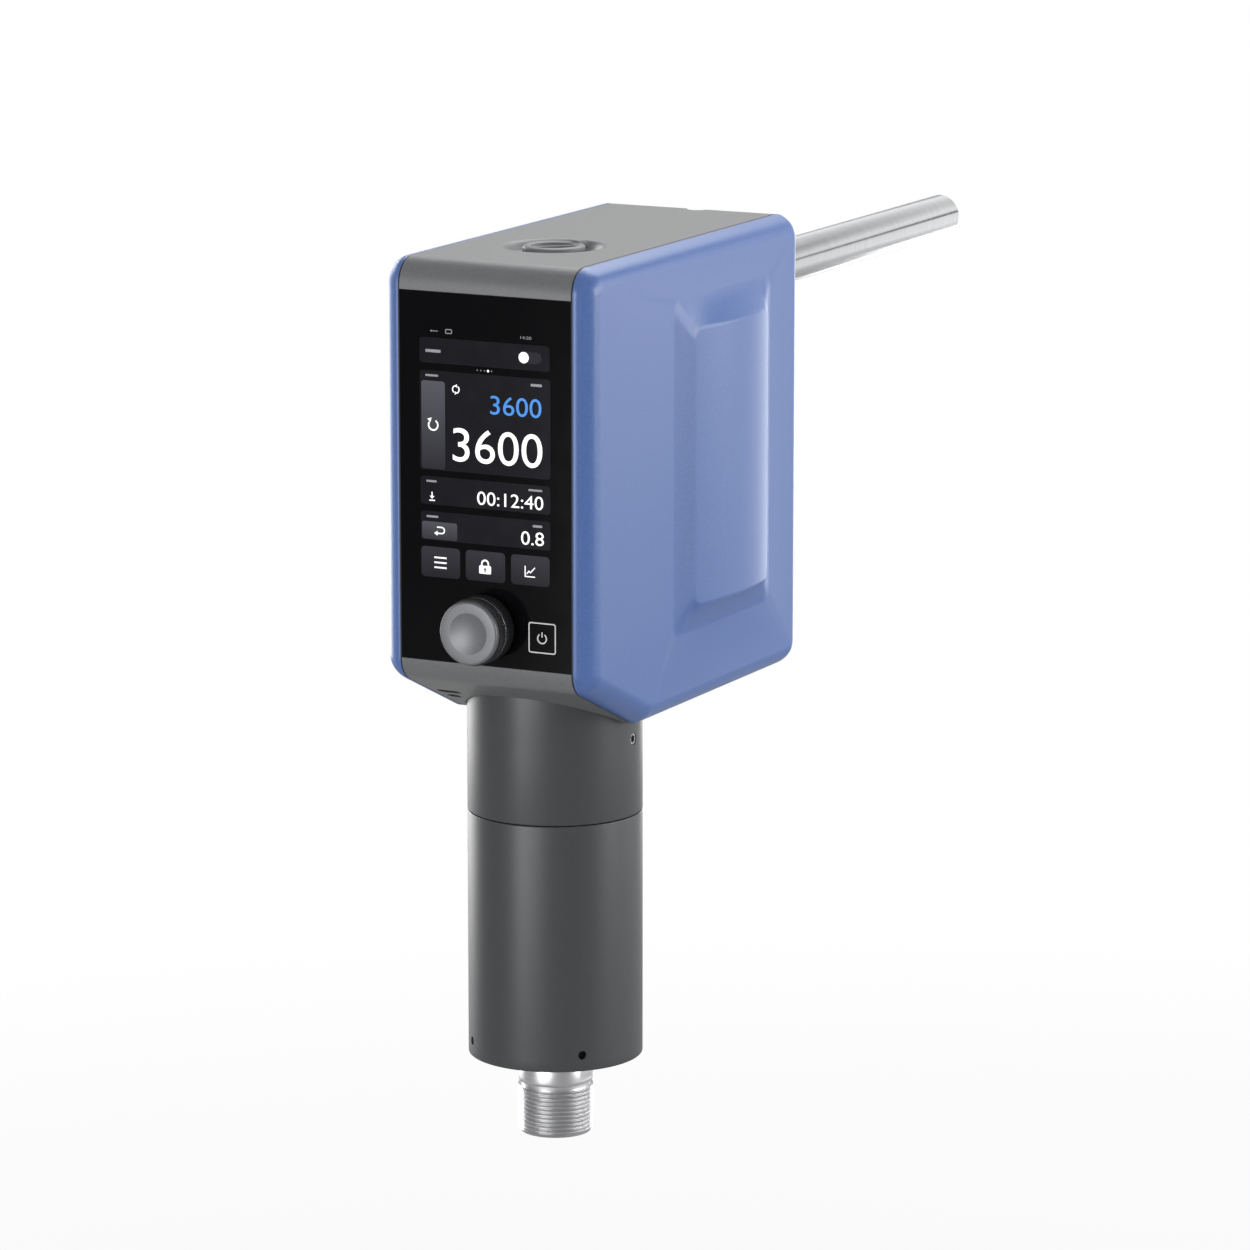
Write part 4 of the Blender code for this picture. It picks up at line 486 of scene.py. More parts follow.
def faded(name, code, foot, head, low, high):
    """A lit key whose tone runs from a foot colour up to a head colour between two heights."""
    key = surface(name, code, *SCREEN_GRAIN, Emission_Strength=0.3, Specular_IOR_Level=0.15)
    tree = key.node_tree
    shader = tree.nodes["Principled BSDF"]
    place = node(tree, "ShaderNodeTexCoord")
    split = node(tree, "ShaderNodeSeparateXYZ", {"Vector": (place, "Object")})
    reach = {"From Min": DATUM[2] + low * MM, "From Max": DATUM[2] + high * MM}
    share = node(tree, "ShaderNodeMapRange", {"Value": (split, "Z"), **reach})
    tone = node(tree, "ShaderNodeValToRGB", {"Fac": (share, "Result")}, [(0.0, foot), (1.0, head)])
    feed(tree, shader, {"Base Color": (tone, "Color"), "Emission Color": (tone, "Color")})


def threaded(name, code):
    """Turned steel whose tone falls from a thread's crest to its root: painted shade in the thread's
    grooves.

    The tone is scaled by the distance from the spindle's axis, and only below the thread's top.
    """
    steel = surface(name, code, 0.4, 0.001, 0.36, 0.05, (0.05, 0.05, 1), Metallic=1.0)
    tree = steel.node_tree
    shader = tree.nodes["Principled BSDF"]
    tone = shader.inputs["Base Color"].links[0].from_node
    crest = mm_box("threaded_collar")[1][0]
    axis = tuple(np.array([0.0, TUBE_AXIS, 0.0]) * MM + DATUM)
    place = node(tree, "ShaderNodeTexCoord")
    pair = {0: (place, "Object"), 1: axis}
    apart = node(tree, "ShaderNodeVectorMath", pair, operation="SUBTRACT")
    pair = {0: (apart, "Vector"), 1: (1, 1, 0)}
    across = node(tree, "ShaderNodeVectorMath", pair, operation="MULTIPLY")
    radius = node(tree, "ShaderNodeVectorMath", {0: (across, "Vector")}, operation="LENGTH")
    span = {"From Min": (crest - 0.75) * MM, "From Max": crest * MM, "To Min": 0.7}
    share = node(tree, "ShaderNodeMapRange", {"Value": (radius, "Value"), **span})
    split = node(tree, "ShaderNodeSeparateXYZ", {"Vector": (place, "Object")})
    pair = {0: (split, "Z"), 1: DATUM[2] + THREAD_TOP * MM}
    above = node(tree, "ShaderNodeMath", pair, operation="GREATER_THAN")
    pair = {0: (share, "Result"), 1: (above, "Value")}
    factor = node(tree, "ShaderNodeMath", pair, operation="MAXIMUM")
    pair = {0: (tone, "Color"), "Scale": (factor, "Value")}
    scaled = node(tree, "ShaderNodeVectorMath", pair, operation="SCALE")
    feed(tree, shader, {"Base Color": (scaled, "Vector")})


def make_finishes():
    """Every finish, each named for its real material and how its surface was made."""
    look = colours()
    # Powder coat on die-cast aluminium: satin, with a pebbled skin about 1 mm across.
    surface("powder_coat_grey", look.casting, 1.0, 0.005, 0.38, Specular_IOR_Level=0.7)
    surface("powder_coat_blue", look.cover, 1.0, 0.004, 0.34, Specular_IOR_Level=0.85)
    # Sprayed steel tube: smoother than the powder coat, with a broad sheen.
    surface("sprayed_tube_coat", look.tube, 0.7, 0.001, 0.38, Specular_IOR_Level=0.7)
    # Cover glass with an anti-reflection coat over black print: nearly no mirror image.
    surface("black_cover_glass", look.glass, 12.0, 0.0, 0.10, 0.03, Specular_IOR_Level=0.15)
    # Ground stainless rod: lines round it, really 0.05 mm apart, drawn at 0.5 mm to show.
    surface("ground_stainless", "#DADCDE", 0.5, 0.001, 0.16, 0.02, (0.05, 1, 0.05), Metallic=1.0)
    # Turned stainless: tool lines round the spindle's axis, drawn at 0.4 mm to show.
    surface("turned_stainless", "#C9CACD", 0.4, 0.002, 0.24, 0.06, (0.05, 0.05, 1), Metallic=1.0)
    # The thread's steel, with painted shade darkening the thread's roots.
    threaded("turned_stainless_painted_root_shade", "#F0F0F2")
    # Blasted and anodised aluminium: matt metal with a fine even grain.
    surface("anodised_aluminium", "#85868A", 0.35, 0.003, 0.42, 0.05, Metallic=0.45)
    # Polished metal: the knob's thin bright ring, and the bearings' rings and balls inside.
    surface("polished_aluminium", "#C4C5C8", 0.5, 0.001, 0.18, 0.04, Metallic=1.0)
    # Machined aluminium inside: cutter lines about 1 mm apart.
    surface("milled_aluminium", "#B4B5B8", 1.0, 0.006, 0.38, 0.08, (1, 0.1, 1), Metallic=1.0)
    # Moulded rubber: matt, with a dusty grain.
    surface("moulded_rubber", "#2B2B2D", 0.35, 0.010, 0.60)
    surface("nitrile_seal", "#1C1C1D", 0.4, 0.006, 0.50)
    # Moulded ABS: spark-eroded grain of about half a millimetre.
    surface("moulded_abs_dark", "#2A2B2D", 0.5, 0.006, 0.48)
    surface("moulded_abs_grey", "#87888A", 0.6, 0.006, 0.42)
    surface("moulded_nylon_light", "#C9C8C2", 0.6, 0.006, 0.45)
    # Screws: black oxide, but bright zinc for the two sunk grub screws.
    surface("black_oxide_steel", "#232325", 0.4, 0.003, 0.42, 0.06, Metallic=1.0)
    surface("zinc_plated_steel", "#EEEEF0", 0.4, 0.002, 0.34, 0.06, Metallic=1.0)
    # Circuit board: green solder mask with a faint weave of about 1 mm below it.
    surface("solder_mask_green", "#1F6B3A", 0.9, 0.010, 0.32, tint=0.08)
    # Windings: enamelled copper, wires about 0.8 mm across laid round the bore.
    surface("enamelled_copper", "#B0612F", 0.8, 0.080, 0.30, 0.08, (0.1, 0.1, 1), Metallic=1.0)
    # Stator: sheets 0.5 mm thick, stacked along the axis.
    surface("stacked_steel_sheets", "#74767A", 0.5, 0.020, 0.40, 0.08, (0.05, 0.05, 1), Metallic=1.0)
    surface("nickel_plated_magnet", "#9A9B9E", 0.6, 0.002, 0.26, 0.04, Metallic=1.0)
    # Lit display areas: pixels are too fine to show, so only a faint cloud varies them.
    for name, code, glow in (
        ("display_ground", "#0F0D11", 0.15),
        ("display_card", "#1B1A20", 0.3),
        ("display_button", "#2C2C32", 0.4),
    ):
        surface(name, code, *SCREEN_GRAIN, Emission_Strength=glow, Specular_IOR_Level=0.15)
    # Keys drawn with a fade from a dark foot to a lighter head.
    faded("display_side_key", "#46464C", "#303035", "#5A5B63", -70.7, -40.7)
    faded("display_return_key", "#46464C", "#3A3A40", "#54555C", -94.8, -88.8)
    faded("display_row_keys", "#2C2C32", "#26262B", "#38383F", -107.8, -97.4)
    # Lit figures and marks, with the same faint cloud.
    for name, code, glow in (
        ("display_white", "#F4F4F4", 0.7),
        ("display_grey", "#8C8D93", 0.5),
        ("display_blue", "#3E86D6", 0.6),
    ):
        surface(name, code, 6.0, 0.0, 0.2, 0.03, Emission_Strength=glow)
    # Screen print on the glass: flat pale ink.
    surface("pale_screen_print", "#F0F0F1", 2.0, 0.0, 0.35, 0.05)


# Pieces of the housing

FRONT_BEND = 9.0
BACK_BEND = 8.0
CHAMFER_HEIGHT = -142.7
CHAMFER_RUN = 44.0
COVER_INNER = HALF_FRAME + 0.3
COVER_DEPTH = 7.35
COVER_WALL = 3.5
PAD_FRONT = 61.6
PAD_BACK = 139.2
PAD_TOP = -18.0
PAD_BOTTOM = -135.3
PAD_END_SKIRT = 9.8
PAD_SIDE_SKIRT = 10.4
PAD_EDGE = 3.8
PAD_CORNER = 0.42
PAD_CREASE = 0.03
HOUSING_CORNERS = [
    (0.0, 0.0, FRONT_BEND),
    (0.0, CHAMFER_HEIGHT, FRONT_BEND),
    (CHAMFER_RUN, HOUSING_BOTTOM, BACK_BEND),
    (HOUSING_LENGTH, HOUSING_BOTTOM, FRONT_BEND),
    (HOUSING_LENGTH, 0.0, BACK_BEND),
]


def pad_height(along, up):
    """Height of the cover's pad over a point of the flat face.

    A level runs from 0 at the plateau's edge to 1 at the pad's foot. It is the larger of the
    shares of the end skirt and the side skirt, with the corner between them an arc, and the
    crease at 0 eased over a small width. The height is a crown, a parabola along the pad,
    times (1 - level) to a power that leaves a crisp crease above and a soft foot below.
    """
    flat_length = (PAD_BACK - PAD_FRONT) / 2 - PAD_END_SKIRT
    flat_height = (PAD_TOP - PAD_BOTTOM) / 2 - PAD_SIDE_SKIRT
    end_level = (np.abs(along) - flat_length) / PAD_END_SKIRT
    side_level = (np.abs(up) - flat_height) / PAD_SIDE_SKIRT
    apart = np.abs(end_level - side_level)
    arc_depth = np.sqrt(np.maximum(2 * PAD_CORNER**2 - apart**2, 0))
    at_corner = (end_level + side_level + 2 * PAD_CORNER - arc_depth) / 2
    level = np.where(apart < PAD_CORNER, at_corner, np.maximum(end_level, side_level))
    eased = (level + PAD_CREASE) ** 2 / (4 * PAD_CREASE)
    level = np.where(np.abs(level) < PAD_CREASE, eased, np.clip(level, 0, 1))
    peak = COVER_PEAK - COVER_INNER - COVER_DEPTH
    reach = np.clip(np.abs(along) / flat_length, 0, 1)
    crown = peak - (peak - PAD_EDGE) * reach**2
    return crown * (1 - level) ** 1.35


def fill_between(shape, outer, inner):
    """Flat triangles between two closed lines in the same plane, given as (n, 3) points."""
    work = bmesh.new()
    edges = []
    for border in (outer, inner):
        corners = [work.verts.new(point) for point in border]
        edges += [work.edges.new((a, b)) for a, b in zip(corners, corners[1:] + corners[:1])]
    work.verts.index_update()
    filled = bmesh.ops.triangle_fill(work, use_beauty=True, edges=edges)
    work.verts.ensure_lookup_table()
    points = np.array([vertex.co for vertex in work.verts])
    faces = [
        [vertex.index for vertex in item.verts]
        for item in filled["geom"]
        if isinstance(item, bmesh.types.BMFace)
    ]
    shape.add(points, faces)
    work.free()


def housing_row(distance, height):
    """The housing's outline moved in by a distance, at a height out from the covers' seam."""
    outline = bends(moved_in(HOUSING_CORNERS, distance), 14)
    across = np.full(len(outline), COVER_INNER + height)
    return np.stack([across, outline[:, 0], outline[:, 1]], axis=-1)


def cover_shape():
    """A side cover: a tray with a flat lip along the seam, a round edge and a raised pad.

    Each row is the housing's outline moved in by a distance, at a height from the seam. The
    rows go from the tray's floor down its inner wall, over the rim, up the lip and round to
    the face. The round is the part of an ellipse past a first angle, so that it leaves the
    lip at a crease and meets the face without one.
    """
    run = sizes().cover_round
    edge = sizes().lip_break
    lip = sizes().lip_width
    first = math.radians(sizes().lip_angle)
    corner = np.linspace(0, math.pi / 2, 4)
    rim = [(edge * (1 - math.sin(a)), edge * (1 - math.cos(a))) for a in corner]
    turn = np.linspace(first, math.pi / 2, 16)
    inward = run * (math.cos(first) - np.cos(turn)) / math.cos(first)
    outward = lip + (COVER_DEPTH - lip) * (np.sin(turn) - math.sin(first)) / (1 - math.sin(first))
    bend = list(zip(inward, outward))
    floor = [(COVER_WALL, COVER_DEPTH - COVER_WALL), (COVER_WALL, 0.0)]
    rows = [housing_row(distance, height) for distance, height in (*floor, *rim, *bend)]
    shape = Shape()
    shape.add_grid(np.stack(rows), wrap_columns=True, cap_first=True)
    half_length = (PAD_BACK - PAD_FRONT) / 2
    half_height = (PAD_TOP - PAD_BOTTOM) / 2
    along, up = np.meshgrid(
        np.linspace(-half_length, half_length, 131),
        np.linspace(-half_height, half_height, 197),
        indexing="ij",
    )
    pad = np.stack(
        [
            COVER_INNER + COVER_DEPTH + pad_height(along, up),
            (PAD_FRONT + PAD_BACK) / 2 + along,
            (PAD_TOP + PAD_BOTTOM) / 2 + up,
        ],
        axis=-1,
    )
    shape.add_grid(pad)
    border = np.concatenate([pad[:-1, 0], pad[-1, :-1], pad[:0:-1, -1], pad[0, :0:-1]])
    fill_between(shape, rows[-1], border)
    return shape


def seam_seal_shape():
    """A seal along a cover's seam: four rows of the housing's outline make a flat ring."""
    wide = sizes().lip_break / 2
    gap = COVER_INNER - HALF_FRAME
    outer = 0.1
    inner = 1.6
    rows = []
    for distance, height in ((outer, -gap), (outer, wide), (inner, wide), (inner, -gap)):
        rows.append(housing_row(distance, height))
    return solid(np.stack(rows), wrap_rows=True, wrap_columns=True)


class STIRRER_OT_covers(bpy.types.Operator):
    """Side covers with a round edge and a crowned pad, and the seals in their seams"""

    bl_idname = "stirrer.covers"
    bl_label = "Side covers"

    def execute(self, context):
        coat = "powder_coat_blue"
        cover = cover_shape()
        seal = seam_seal_shape()
        sides = (("right", False), ("left", True))
        for side, mirror in sides:
            nodes = [f"{side}_cover"]
            piece(cover, f"{side}_side_cover", coat, nodes=nodes, mirror=mirror)
        for side, mirror in sides:
            piece(seal, f"{side}_seam_seal", "nitrile_seal", mirror=mirror)
        return {"FINISHED"}


def tube_wall(shape, radius, low, high, hole_height, hole_radius, hole_columns, half):
    """Add a tube's face: a grid with square gaps, each closed in by rings on a round hole.

    A gap is twice half cells wide and high. A ring's points are a share of the way from the
    gap's border to the hole's circle, at angle = sideways distance / tube radius. Gives back
    each hole's circle.
    """
    step = 2 * math.pi / TUBE_COLUMNS
    cell = TUBE_RADIUS * step
    heights = [low, *(hole_height + np.arange(-half, half + 1) * cell), high]
    profile = np.array([(radius, height) for height in heights])
    grid = turned(profile, (0.0, TUBE_AXIS), steps=TUBE_COLUMNS)
    keep = np.ones((len(heights) - 1, TUBE_COLUMNS), bool)
    side = np.arange(-half, half) * cell
    edge = np.full(2 * half, half * cell)
    border = np.concatenate(
        [
            np.stack([side, -edge], axis=1),
            np.stack([edge, side], axis=1),
            np.stack([-side, edge], axis=1),
            np.stack([-edge, -side], axis=1),
        ]
    )
    circle = border / np.linalg.norm(border, axis=1)[:, None] * hole_radius
    share = np.linspace(0, 1, 4)[:, None, None]
    rings = border * (1 - share) + circle * share
    circles = []
    for column in hole_columns:
        keep[1:-1, np.arange(column - half, column + half) % TUBE_COLUMNS] = False
        angle = column * step + rings[..., 0] / TUBE_RADIUS
        points = [radius * np.cos(angle), TUBE_AXIS + radius * np.sin(angle), hole_height + rings[..., 1]]
        patch = np.stack(points, axis=-1)
        shape.add_grid(patch, wrap_columns=True)
        circles.append(patch[-1])
    faces = grid_faces(len(heights), TUBE_COLUMNS, wrap_columns=True, keep=keep)
    shape.add(grid.reshape(-1, 3), faces)
    return circles


def tube_shape(low, high, edge, hole_height, hole_radius, hole_columns, half):
    """A tube with rounded rims and round holes through its wall."""
    inner = TUBE_RADIUS - TUBE_WALL
    between = (low + high) / 2
    shape = Shape()
    for end, rounding in ((low, edge), (high, TUBE_TOP_EDGE)):
        corners = [
            (TUBE_RADIUS, between, 0.0),
            (TUBE_RADIUS, end, rounding),
            (inner, end, TUBE_INNER_EDGE),
            (inner, between, 0.0),
        ]
        rim = bends(corners, 5, closed=False)[1:-1]
        shape.add_grid(turned(rim, (0.0, TUBE_AXIS), steps=TUBE_COLUMNS), wrap_columns=True)
    hole = (hole_height, hole_radius, hole_columns, half)
    outside = tube_wall(shape, TUBE_RADIUS, low + edge, high - TUBE_TOP_EDGE, *hole)
    inside = tube_wall(shape, inner, low + TUBE_INNER_EDGE, high - TUBE_INNER_EDGE, *hole)
    for outer_circle, inner_circle in zip(outside, inside):
        shape.add_grid(np.stack([outer_circle, inner_circle]), wrap_columns=True)
    return shape


def from_tube(angle, radius, height):
    """A placing rule for what sits in the tube's wall: depth runs in toward the axis."""
    out = np.array([math.cos(angle), math.sin(angle), 0.0])
    side = np.array([-math.sin(angle), math.cos(angle), 0.0])
    up = np.array([0.0, 0.0, 1.0])
    start = np.array([0.0, TUBE_AXIS, height]) + out * radius

    def place(outline, depth):
        return start + outline[:, :1] * side + outline[:, 1:] * up - depth[:, None] * out

    return place


def socket_screw(shape, place, radius, across_flats, length, depth):
    """Add a screw's end: a chamfered disc with a hexagonal socket.

    The socket's reach at an angle is half its width over the cosine of the angle from the
    nearest flat's middle.
    """
    angle = np.linspace(0, 2 * math.pi, 48, endpoint=False)
    from_flat = (angle + math.pi / 6) % (math.pi / 3) - math.pi / 6
    socket = across_flats / 2 / np.cos(from_flat)
    turn = np.stack([np.cos(angle), np.sin(angle)], axis=1)
    chamfer = 0.2
    rows = []
    for reach, down in (
        (np.full(48, radius), length),
        (np.full(48, radius), chamfer),
        (np.full(48, radius - chamfer), 0.0),
        (socket + chamfer / 2, 0.0),
        (socket, chamfer / 2),
        (socket, depth),
    ):
        rows.append(place(turn * reach[:, None], np.full(48, down)))
    shape.add_grid(np.stack(rows), wrap_columns=True, cap_first=True, cap_last=True)


class STIRRER_OT_tubes(bpy.types.Operator):
    """Drive tube in two lengths, with their screw holes"""

    bl_idname = "stirrer.tubes"
    bl_label = "Drive tube"

    def execute(self, context):
        quarter = TUBE_COLUMNS // 4
        sides = (0, 2 * quarter)
        diagonals = [quarter // 2 + quarter * turn for turn in range(4)]
        for name, node_name, screw, edge, hole_radius, columns, half in (
            ("upper_drive_tube", "upper_tube", "tube_grub_screw_1", 0.35, 2.1, sides, 3),
            ("lower_drive_tube", "lower_tube", "rim_screw_1", 0.6, 1.55, diagonals, 2),
        ):
            low, high = mm_box(node_name)
            height = middle(screw)[2]
            shape = tube_shape(low[2], high[2], edge, height, hole_radius, columns, half)
            piece(shape, name, "sprayed_tube_coat", nodes=[node_name])
        return {"FINISHED"}


class STIRRER_OT_screws(bpy.types.Operator):
    """Hex-socket grub screws in the drive tube's upper length"""

    bl_idname = "stirrer.screws"
    bl_label = "Grub screws"

    def execute(self, context):
        radius = 1.98
        across_flats = 2.6
        socket_depth = 3.2
        plug_radius = across_flats / 2 + 0.06
        plug_front = 0.7
        for number, angle in ((1, 0.0), (2, math.pi)):
            node_name = f"tube_grub_screw_{number}"
            low, high = mm_box(node_name)
            reach = max(abs(low[0]), abs(high[0]))
            length = high[0] - low[0]
            shape = Shape()
            place = from_tube(angle, reach, middle(node_name)[2])
            socket_screw(shape, place, radius, across_flats, length, socket_depth)
            piece(shape, f"socket_screw_{number}", "zinc_plated_steel", nodes=[node_name])
            # A dark plug low in the socket is painted shade: it makes the socket read black from outside.
            circle = arc((0.0, 0.0), plug_radius, 0, 360, 24)[:-1]
            ends = [place(circle, np.full(24, depth)) for depth in (socket_depth + 0.1, plug_front)]
            plug = solid(np.stack(ends), wrap_columns=True, cap_first=True, cap_last=True)
            piece(plug, f"socket_shade_plug_{number}", "black_oxide_steel")
        return {"FINISHED"}


class STIRRER_OT_collar(bpy.types.Operator):
    """Threaded collar: plain neck, relief groove and a helical thread down to its chamfer"""

    bl_idname = "stirrer.collar"
    bl_label = "Threaded collar"

    def execute(self, context):
        low, high = mm_box("threaded_collar")
        crest = high[0]
        neck = 12.9
        groove = 12.0
        spigot = 11.0
        bore = 9.0
        flats = 24.0
        ledge = 1.1
        edge = 0.3
        neck_top = BASE_FACE - edge
        neck_end = THREAD_TOP + 1.6
        pitch = sizes().thread_pitch
        depth = sizes().thread_depth

        def thread(angle, along, radius):
            """Thread and flats, both as a change of radius.

            The thread is a triangle wave of the height less the turn's share of a pitch, faded
            at both ends. A flat cuts the neck at half the width over the angle's cosine.
            """
            turn = (along - THREAD_TOP) / pitch + angle / (2 * math.pi)
            wave = 1 - np.abs(2 * (turn % 1) - 1)
            wave = np.clip(wave * 1.35 - 0.17, 0, 1)
            fade = np.clip((THREAD_TOP - along) / 0.6, 0, 1) * np.clip((along - low[2]) / 1.2, 0, 1)
            on_crest = radius > crest - 0.01
            reach = flats / 2 / np.maximum(np.abs(np.cos(angle)), 0.5)
            on_neck = (along > neck_end + ledge) & (radius > groove + 0.5)
            flat = np.minimum(reach - radius, 0) * on_neck
            return flat - depth * wave * np.minimum(fade * 2, 1) * on_crest

        run = np.linspace(THREAD_TOP, low[2] + 1.0, 260)
        profile = np.concatenate(
            [
                [(bore, high[2]), (spigot, high[2]), (spigot, neck_top), (neck - edge, neck_top)],
                [(neck, neck_top - edge), (neck, neck_end + ledge + 0.02), (neck, neck_end + ledge)],
                [(neck, neck_end + edge), (neck - edge, neck_end)],
                [(groove, neck_end), (groove, THREAD_TOP), (crest - 0.6, THREAD_TOP)],
                np.stack([np.full(len(run), crest), run], axis=1),
                [(crest - 1.0, low[2]), (bore + 0.5, low[2]), (bore, low[2] + 0.5)],
            ]
        )
        grid = turned(profile, (0.0, TUBE_AXIS), steps=180, ripple=thread)
        shape = solid(grid, wrap_rows=True, wrap_columns=True)
        # A finish with painted shade in the thread's roots.
        finish = "turned_stainless_painted_root_shade"
        piece(shape, "turned_collar", finish, nodes=["threaded_collar"], sharp=50.0)
        return {"FINISHED"}


class STIRRER_OT_rod(bpy.types.Operator):
    """Support rod with chamfered ends"""

    bl_idname = "stirrer.rod"
    bl_label = "Support rod"

    def execute(self, context):
        low, high = mm_box("support_rod")
        radius = (high[0] - low[0]) / 2
        chamfer = 0.8
        edge = 0.15
        corners = [
            (0.0, low[1], 0.0),
            (radius - chamfer, low[1], edge),
            (radius, low[1] + chamfer, edge),
            (radius, high[1] - chamfer, edge),
            (radius - chamfer, high[1], edge),
            (0.0, high[1], 0.0),
        ]
        shape = lathed(corners, (0.0, 0.0, ROD_HEIGHT), 96, closed=False)
        piece(shape, "ground_rod", "ground_stainless", nodes=["support_rod"])
        return {"FINISHED"}


class STIRRER_OT_knob(bpy.types.Operator):
    """Knob in four parts: dished cap, ribbed grip, bright ring and ribbed body"""

    bl_idname = "stirrer.knob"
    bl_label = "Push and turn knob"

    def execute(self, context):
        centre = (0.0, 0.0, KNOB_HEIGHT)
        ribs = sizes().grip_ribs
        cap_low, cap_high = mm_box("knob_cap")
        grip_low, grip_high = mm_box("knob_grip")
        ring_low, ring_high = mm_box("knob_ring")
        body_low, body_high = mm_box("knob_body")
        face = cap_low[1]
        rim = cap_high[0]
        dish_radius = 7.1
        dish_depth = 1.1
        share = np.linspace(0, 1, 16)
        dish = [(dish_radius * s, face + dish_depth * (1 - s**2), 0.0) for s in share[:-1]]
        core = 8.8
        band = 2.2
        corners = [
            *dish,
            (dish_radius, face, 0.5),
            (rim, face, 0.9),
            (rim, face + band, 0.15),
            (core, face + band, 0.1),
            (core, cap_high[1], 0.1),
            (0.0, cap_high[1], 0.0),
        ]
        cap = lathed(corners, centre, 144, closed=False)
        piece(cap, "dished_knob_cap", "anodised_aluminium", "knob", ["knob_cap"])

        def ribbing(angle, along, radius):
            """Rounded ribs: the outer face sinks by half a cosine wave of the angle."""
            outer = radius > grip_high[0] - 0.3
            return -0.12 * (1 - np.cos(angle * ribs)) * outer

        bore = core + 0.3
        grip = sleeve(bore, 0.1, grip_high[0], 0.35, grip_low[1], grip_high[1])
        shape = lathed(grip, centre, ribs * 6, ribbing, 3)
        piece(shape, "ribbed_knob_grip", "moulded_rubber", "knob", ["knob_grip"])
        front = ring_high[1] + 0.3
        inside = bore - 0.3
        shaft_hole = 3.3
        recess = 5.1
        recess_end = body_high[1] - 2.0
        body = [
            (shaft_hole, body_low[1], 0.0),
            (inside, body_low[1], 0.2),
            (inside, front, 0.0),
            (body_high[0], front, 0.3),
            (body_high[0], body_high[1], 0.3),
            (recess, body_high[1], 0.0),
            (recess, recess_end, 0.0),
            (shaft_hole, recess_end, 0.0),
        ]
        shape = lathed(body, centre, ribs * 6, ribbing, 3)
        piece(shape, "ribbed_knob_body", "moulded_abs_dark", "knob", ["knob_body"])
        ring = sleeve(bore, 0.0, ring_high[0], 0.12, ring_low[1], ring_high[1])
        shape = lathed(ring, centre, 144, fillet_steps=3)
        piece(shape, "bright_knob_ring", "polished_aluminium", "knob", ["knob_ring"])
        return {"FINISHED"}


# Lit display and screen print

def sheet(boxes, radius, layer):
    """Round-cornered (left, bottom, right, top) areas of one ink."""
    shape = Shape()
    for box in boxes:
        slab(shape, box_outline(*box, radius), layer)
    return shape


def disc(shape, centre, radius, layer=INK_LAYER):
    slab(shape, arc(centre, radius, 0, 360, 36)[:-1], layer)


def triangle(shape, tip, way, length, width):
    """A solid arrow head from its tip, pointing along a direction in degrees."""
    ahead = np.array([math.cos(math.radians(way)), math.sin(math.radians(way))])
    side = np.array([-ahead[1], ahead[0]]) * width / 2
    foot = np.array(tip) - ahead * length
    slab(shape, np.array([tip, foot + side, foot - side]), INK_LAYER)


def status_marks(shape):
    """A link mark, a screen mark and a clock along the display's top."""
    line(shape, [(-20.0, -23.7), (-17.6, -23.7)], 0.25)
    disc(shape, (-20.2, -23.7), 0.3)
    line(shape, box_outline(-14.7, -24.2, -12.4, -22.9, 0.3, 3), 0.3, closed=True)
    figures(shape, "14:20", (13.6, -24.2, 17.7, -23.2))


def direction_marks(shape):
    """The key's arrow that turns back on a circle, and the pair of arrows beside it."""
    line(shape, arc((-19.6, -55.7), 1.75, 150, 420, 36), 0.55)
    triangle(shape, (-20.2, -53.2), 45, 1.5, 1.6)
    line(shape, arc((-10.9, -43.0), 1.25, 110, 235, 18), 0.42)
    line(shape, arc((-10.9, -43.0), 1.25, 290, 415, 18), 0.42)
    triangle(shape, (-10.4, -44.2), 0, 0.9, 1.2)
    triangle(shape, (-11.4, -41.8), 180, 0.9, 1.2)


def timer_mark(shape):
    """An arrow down to a base line."""
    line(shape, [(-20.2, -78.6), (-20.2, -80.0)], 0.45)
    triangle(shape, (-20.2, -81.0), 270, 1.0, 1.8)
    line(shape, [(-21.3, -81.5), (-19.1, -81.5)], 0.4)


def return_mark(shape):
    """An arrow that turns back to the left."""
    bend = arc((-16.6, -91.6), 1.05, 90, -90, 16)
    line(shape, [(-18.4, -90.55), *bend, (-18.2, -92.65)], 0.45)
    triangle(shape, (-19.5, -92.65), 180, 1.3, 1.7)


def menu_mark(shape):
    for height in (-101.0, -102.7, -104.4):
        line(shape, [(-19.5, height), (-14.8, height)], 0.55)


def lock_mark(shape):
    """A closed padlock."""
    slab(shape, box_outline(-2.35, -105.1, 2.15, -102.3, 0.35, 3), INK_LAYER)
    shackle = [(-1.35, -102.25), (-1.35, -101.7), *arc((-0.1, -101.7), 1.25, 180, 0, 16)[1:-1]]
    line(shape, [*shackle, (1.15, -101.7), (1.15, -102.25)], 0.6)


def chart_mark(shape):
    line(shape, [(15.1, -101.0), (15.1, -104.6), (18.8, -104.6)], 0.38)
    line(shape, [(15.7, -103.7), (16.5, -102.7), (17.1, -103.2), (18.8, -101.4)], 0.38)


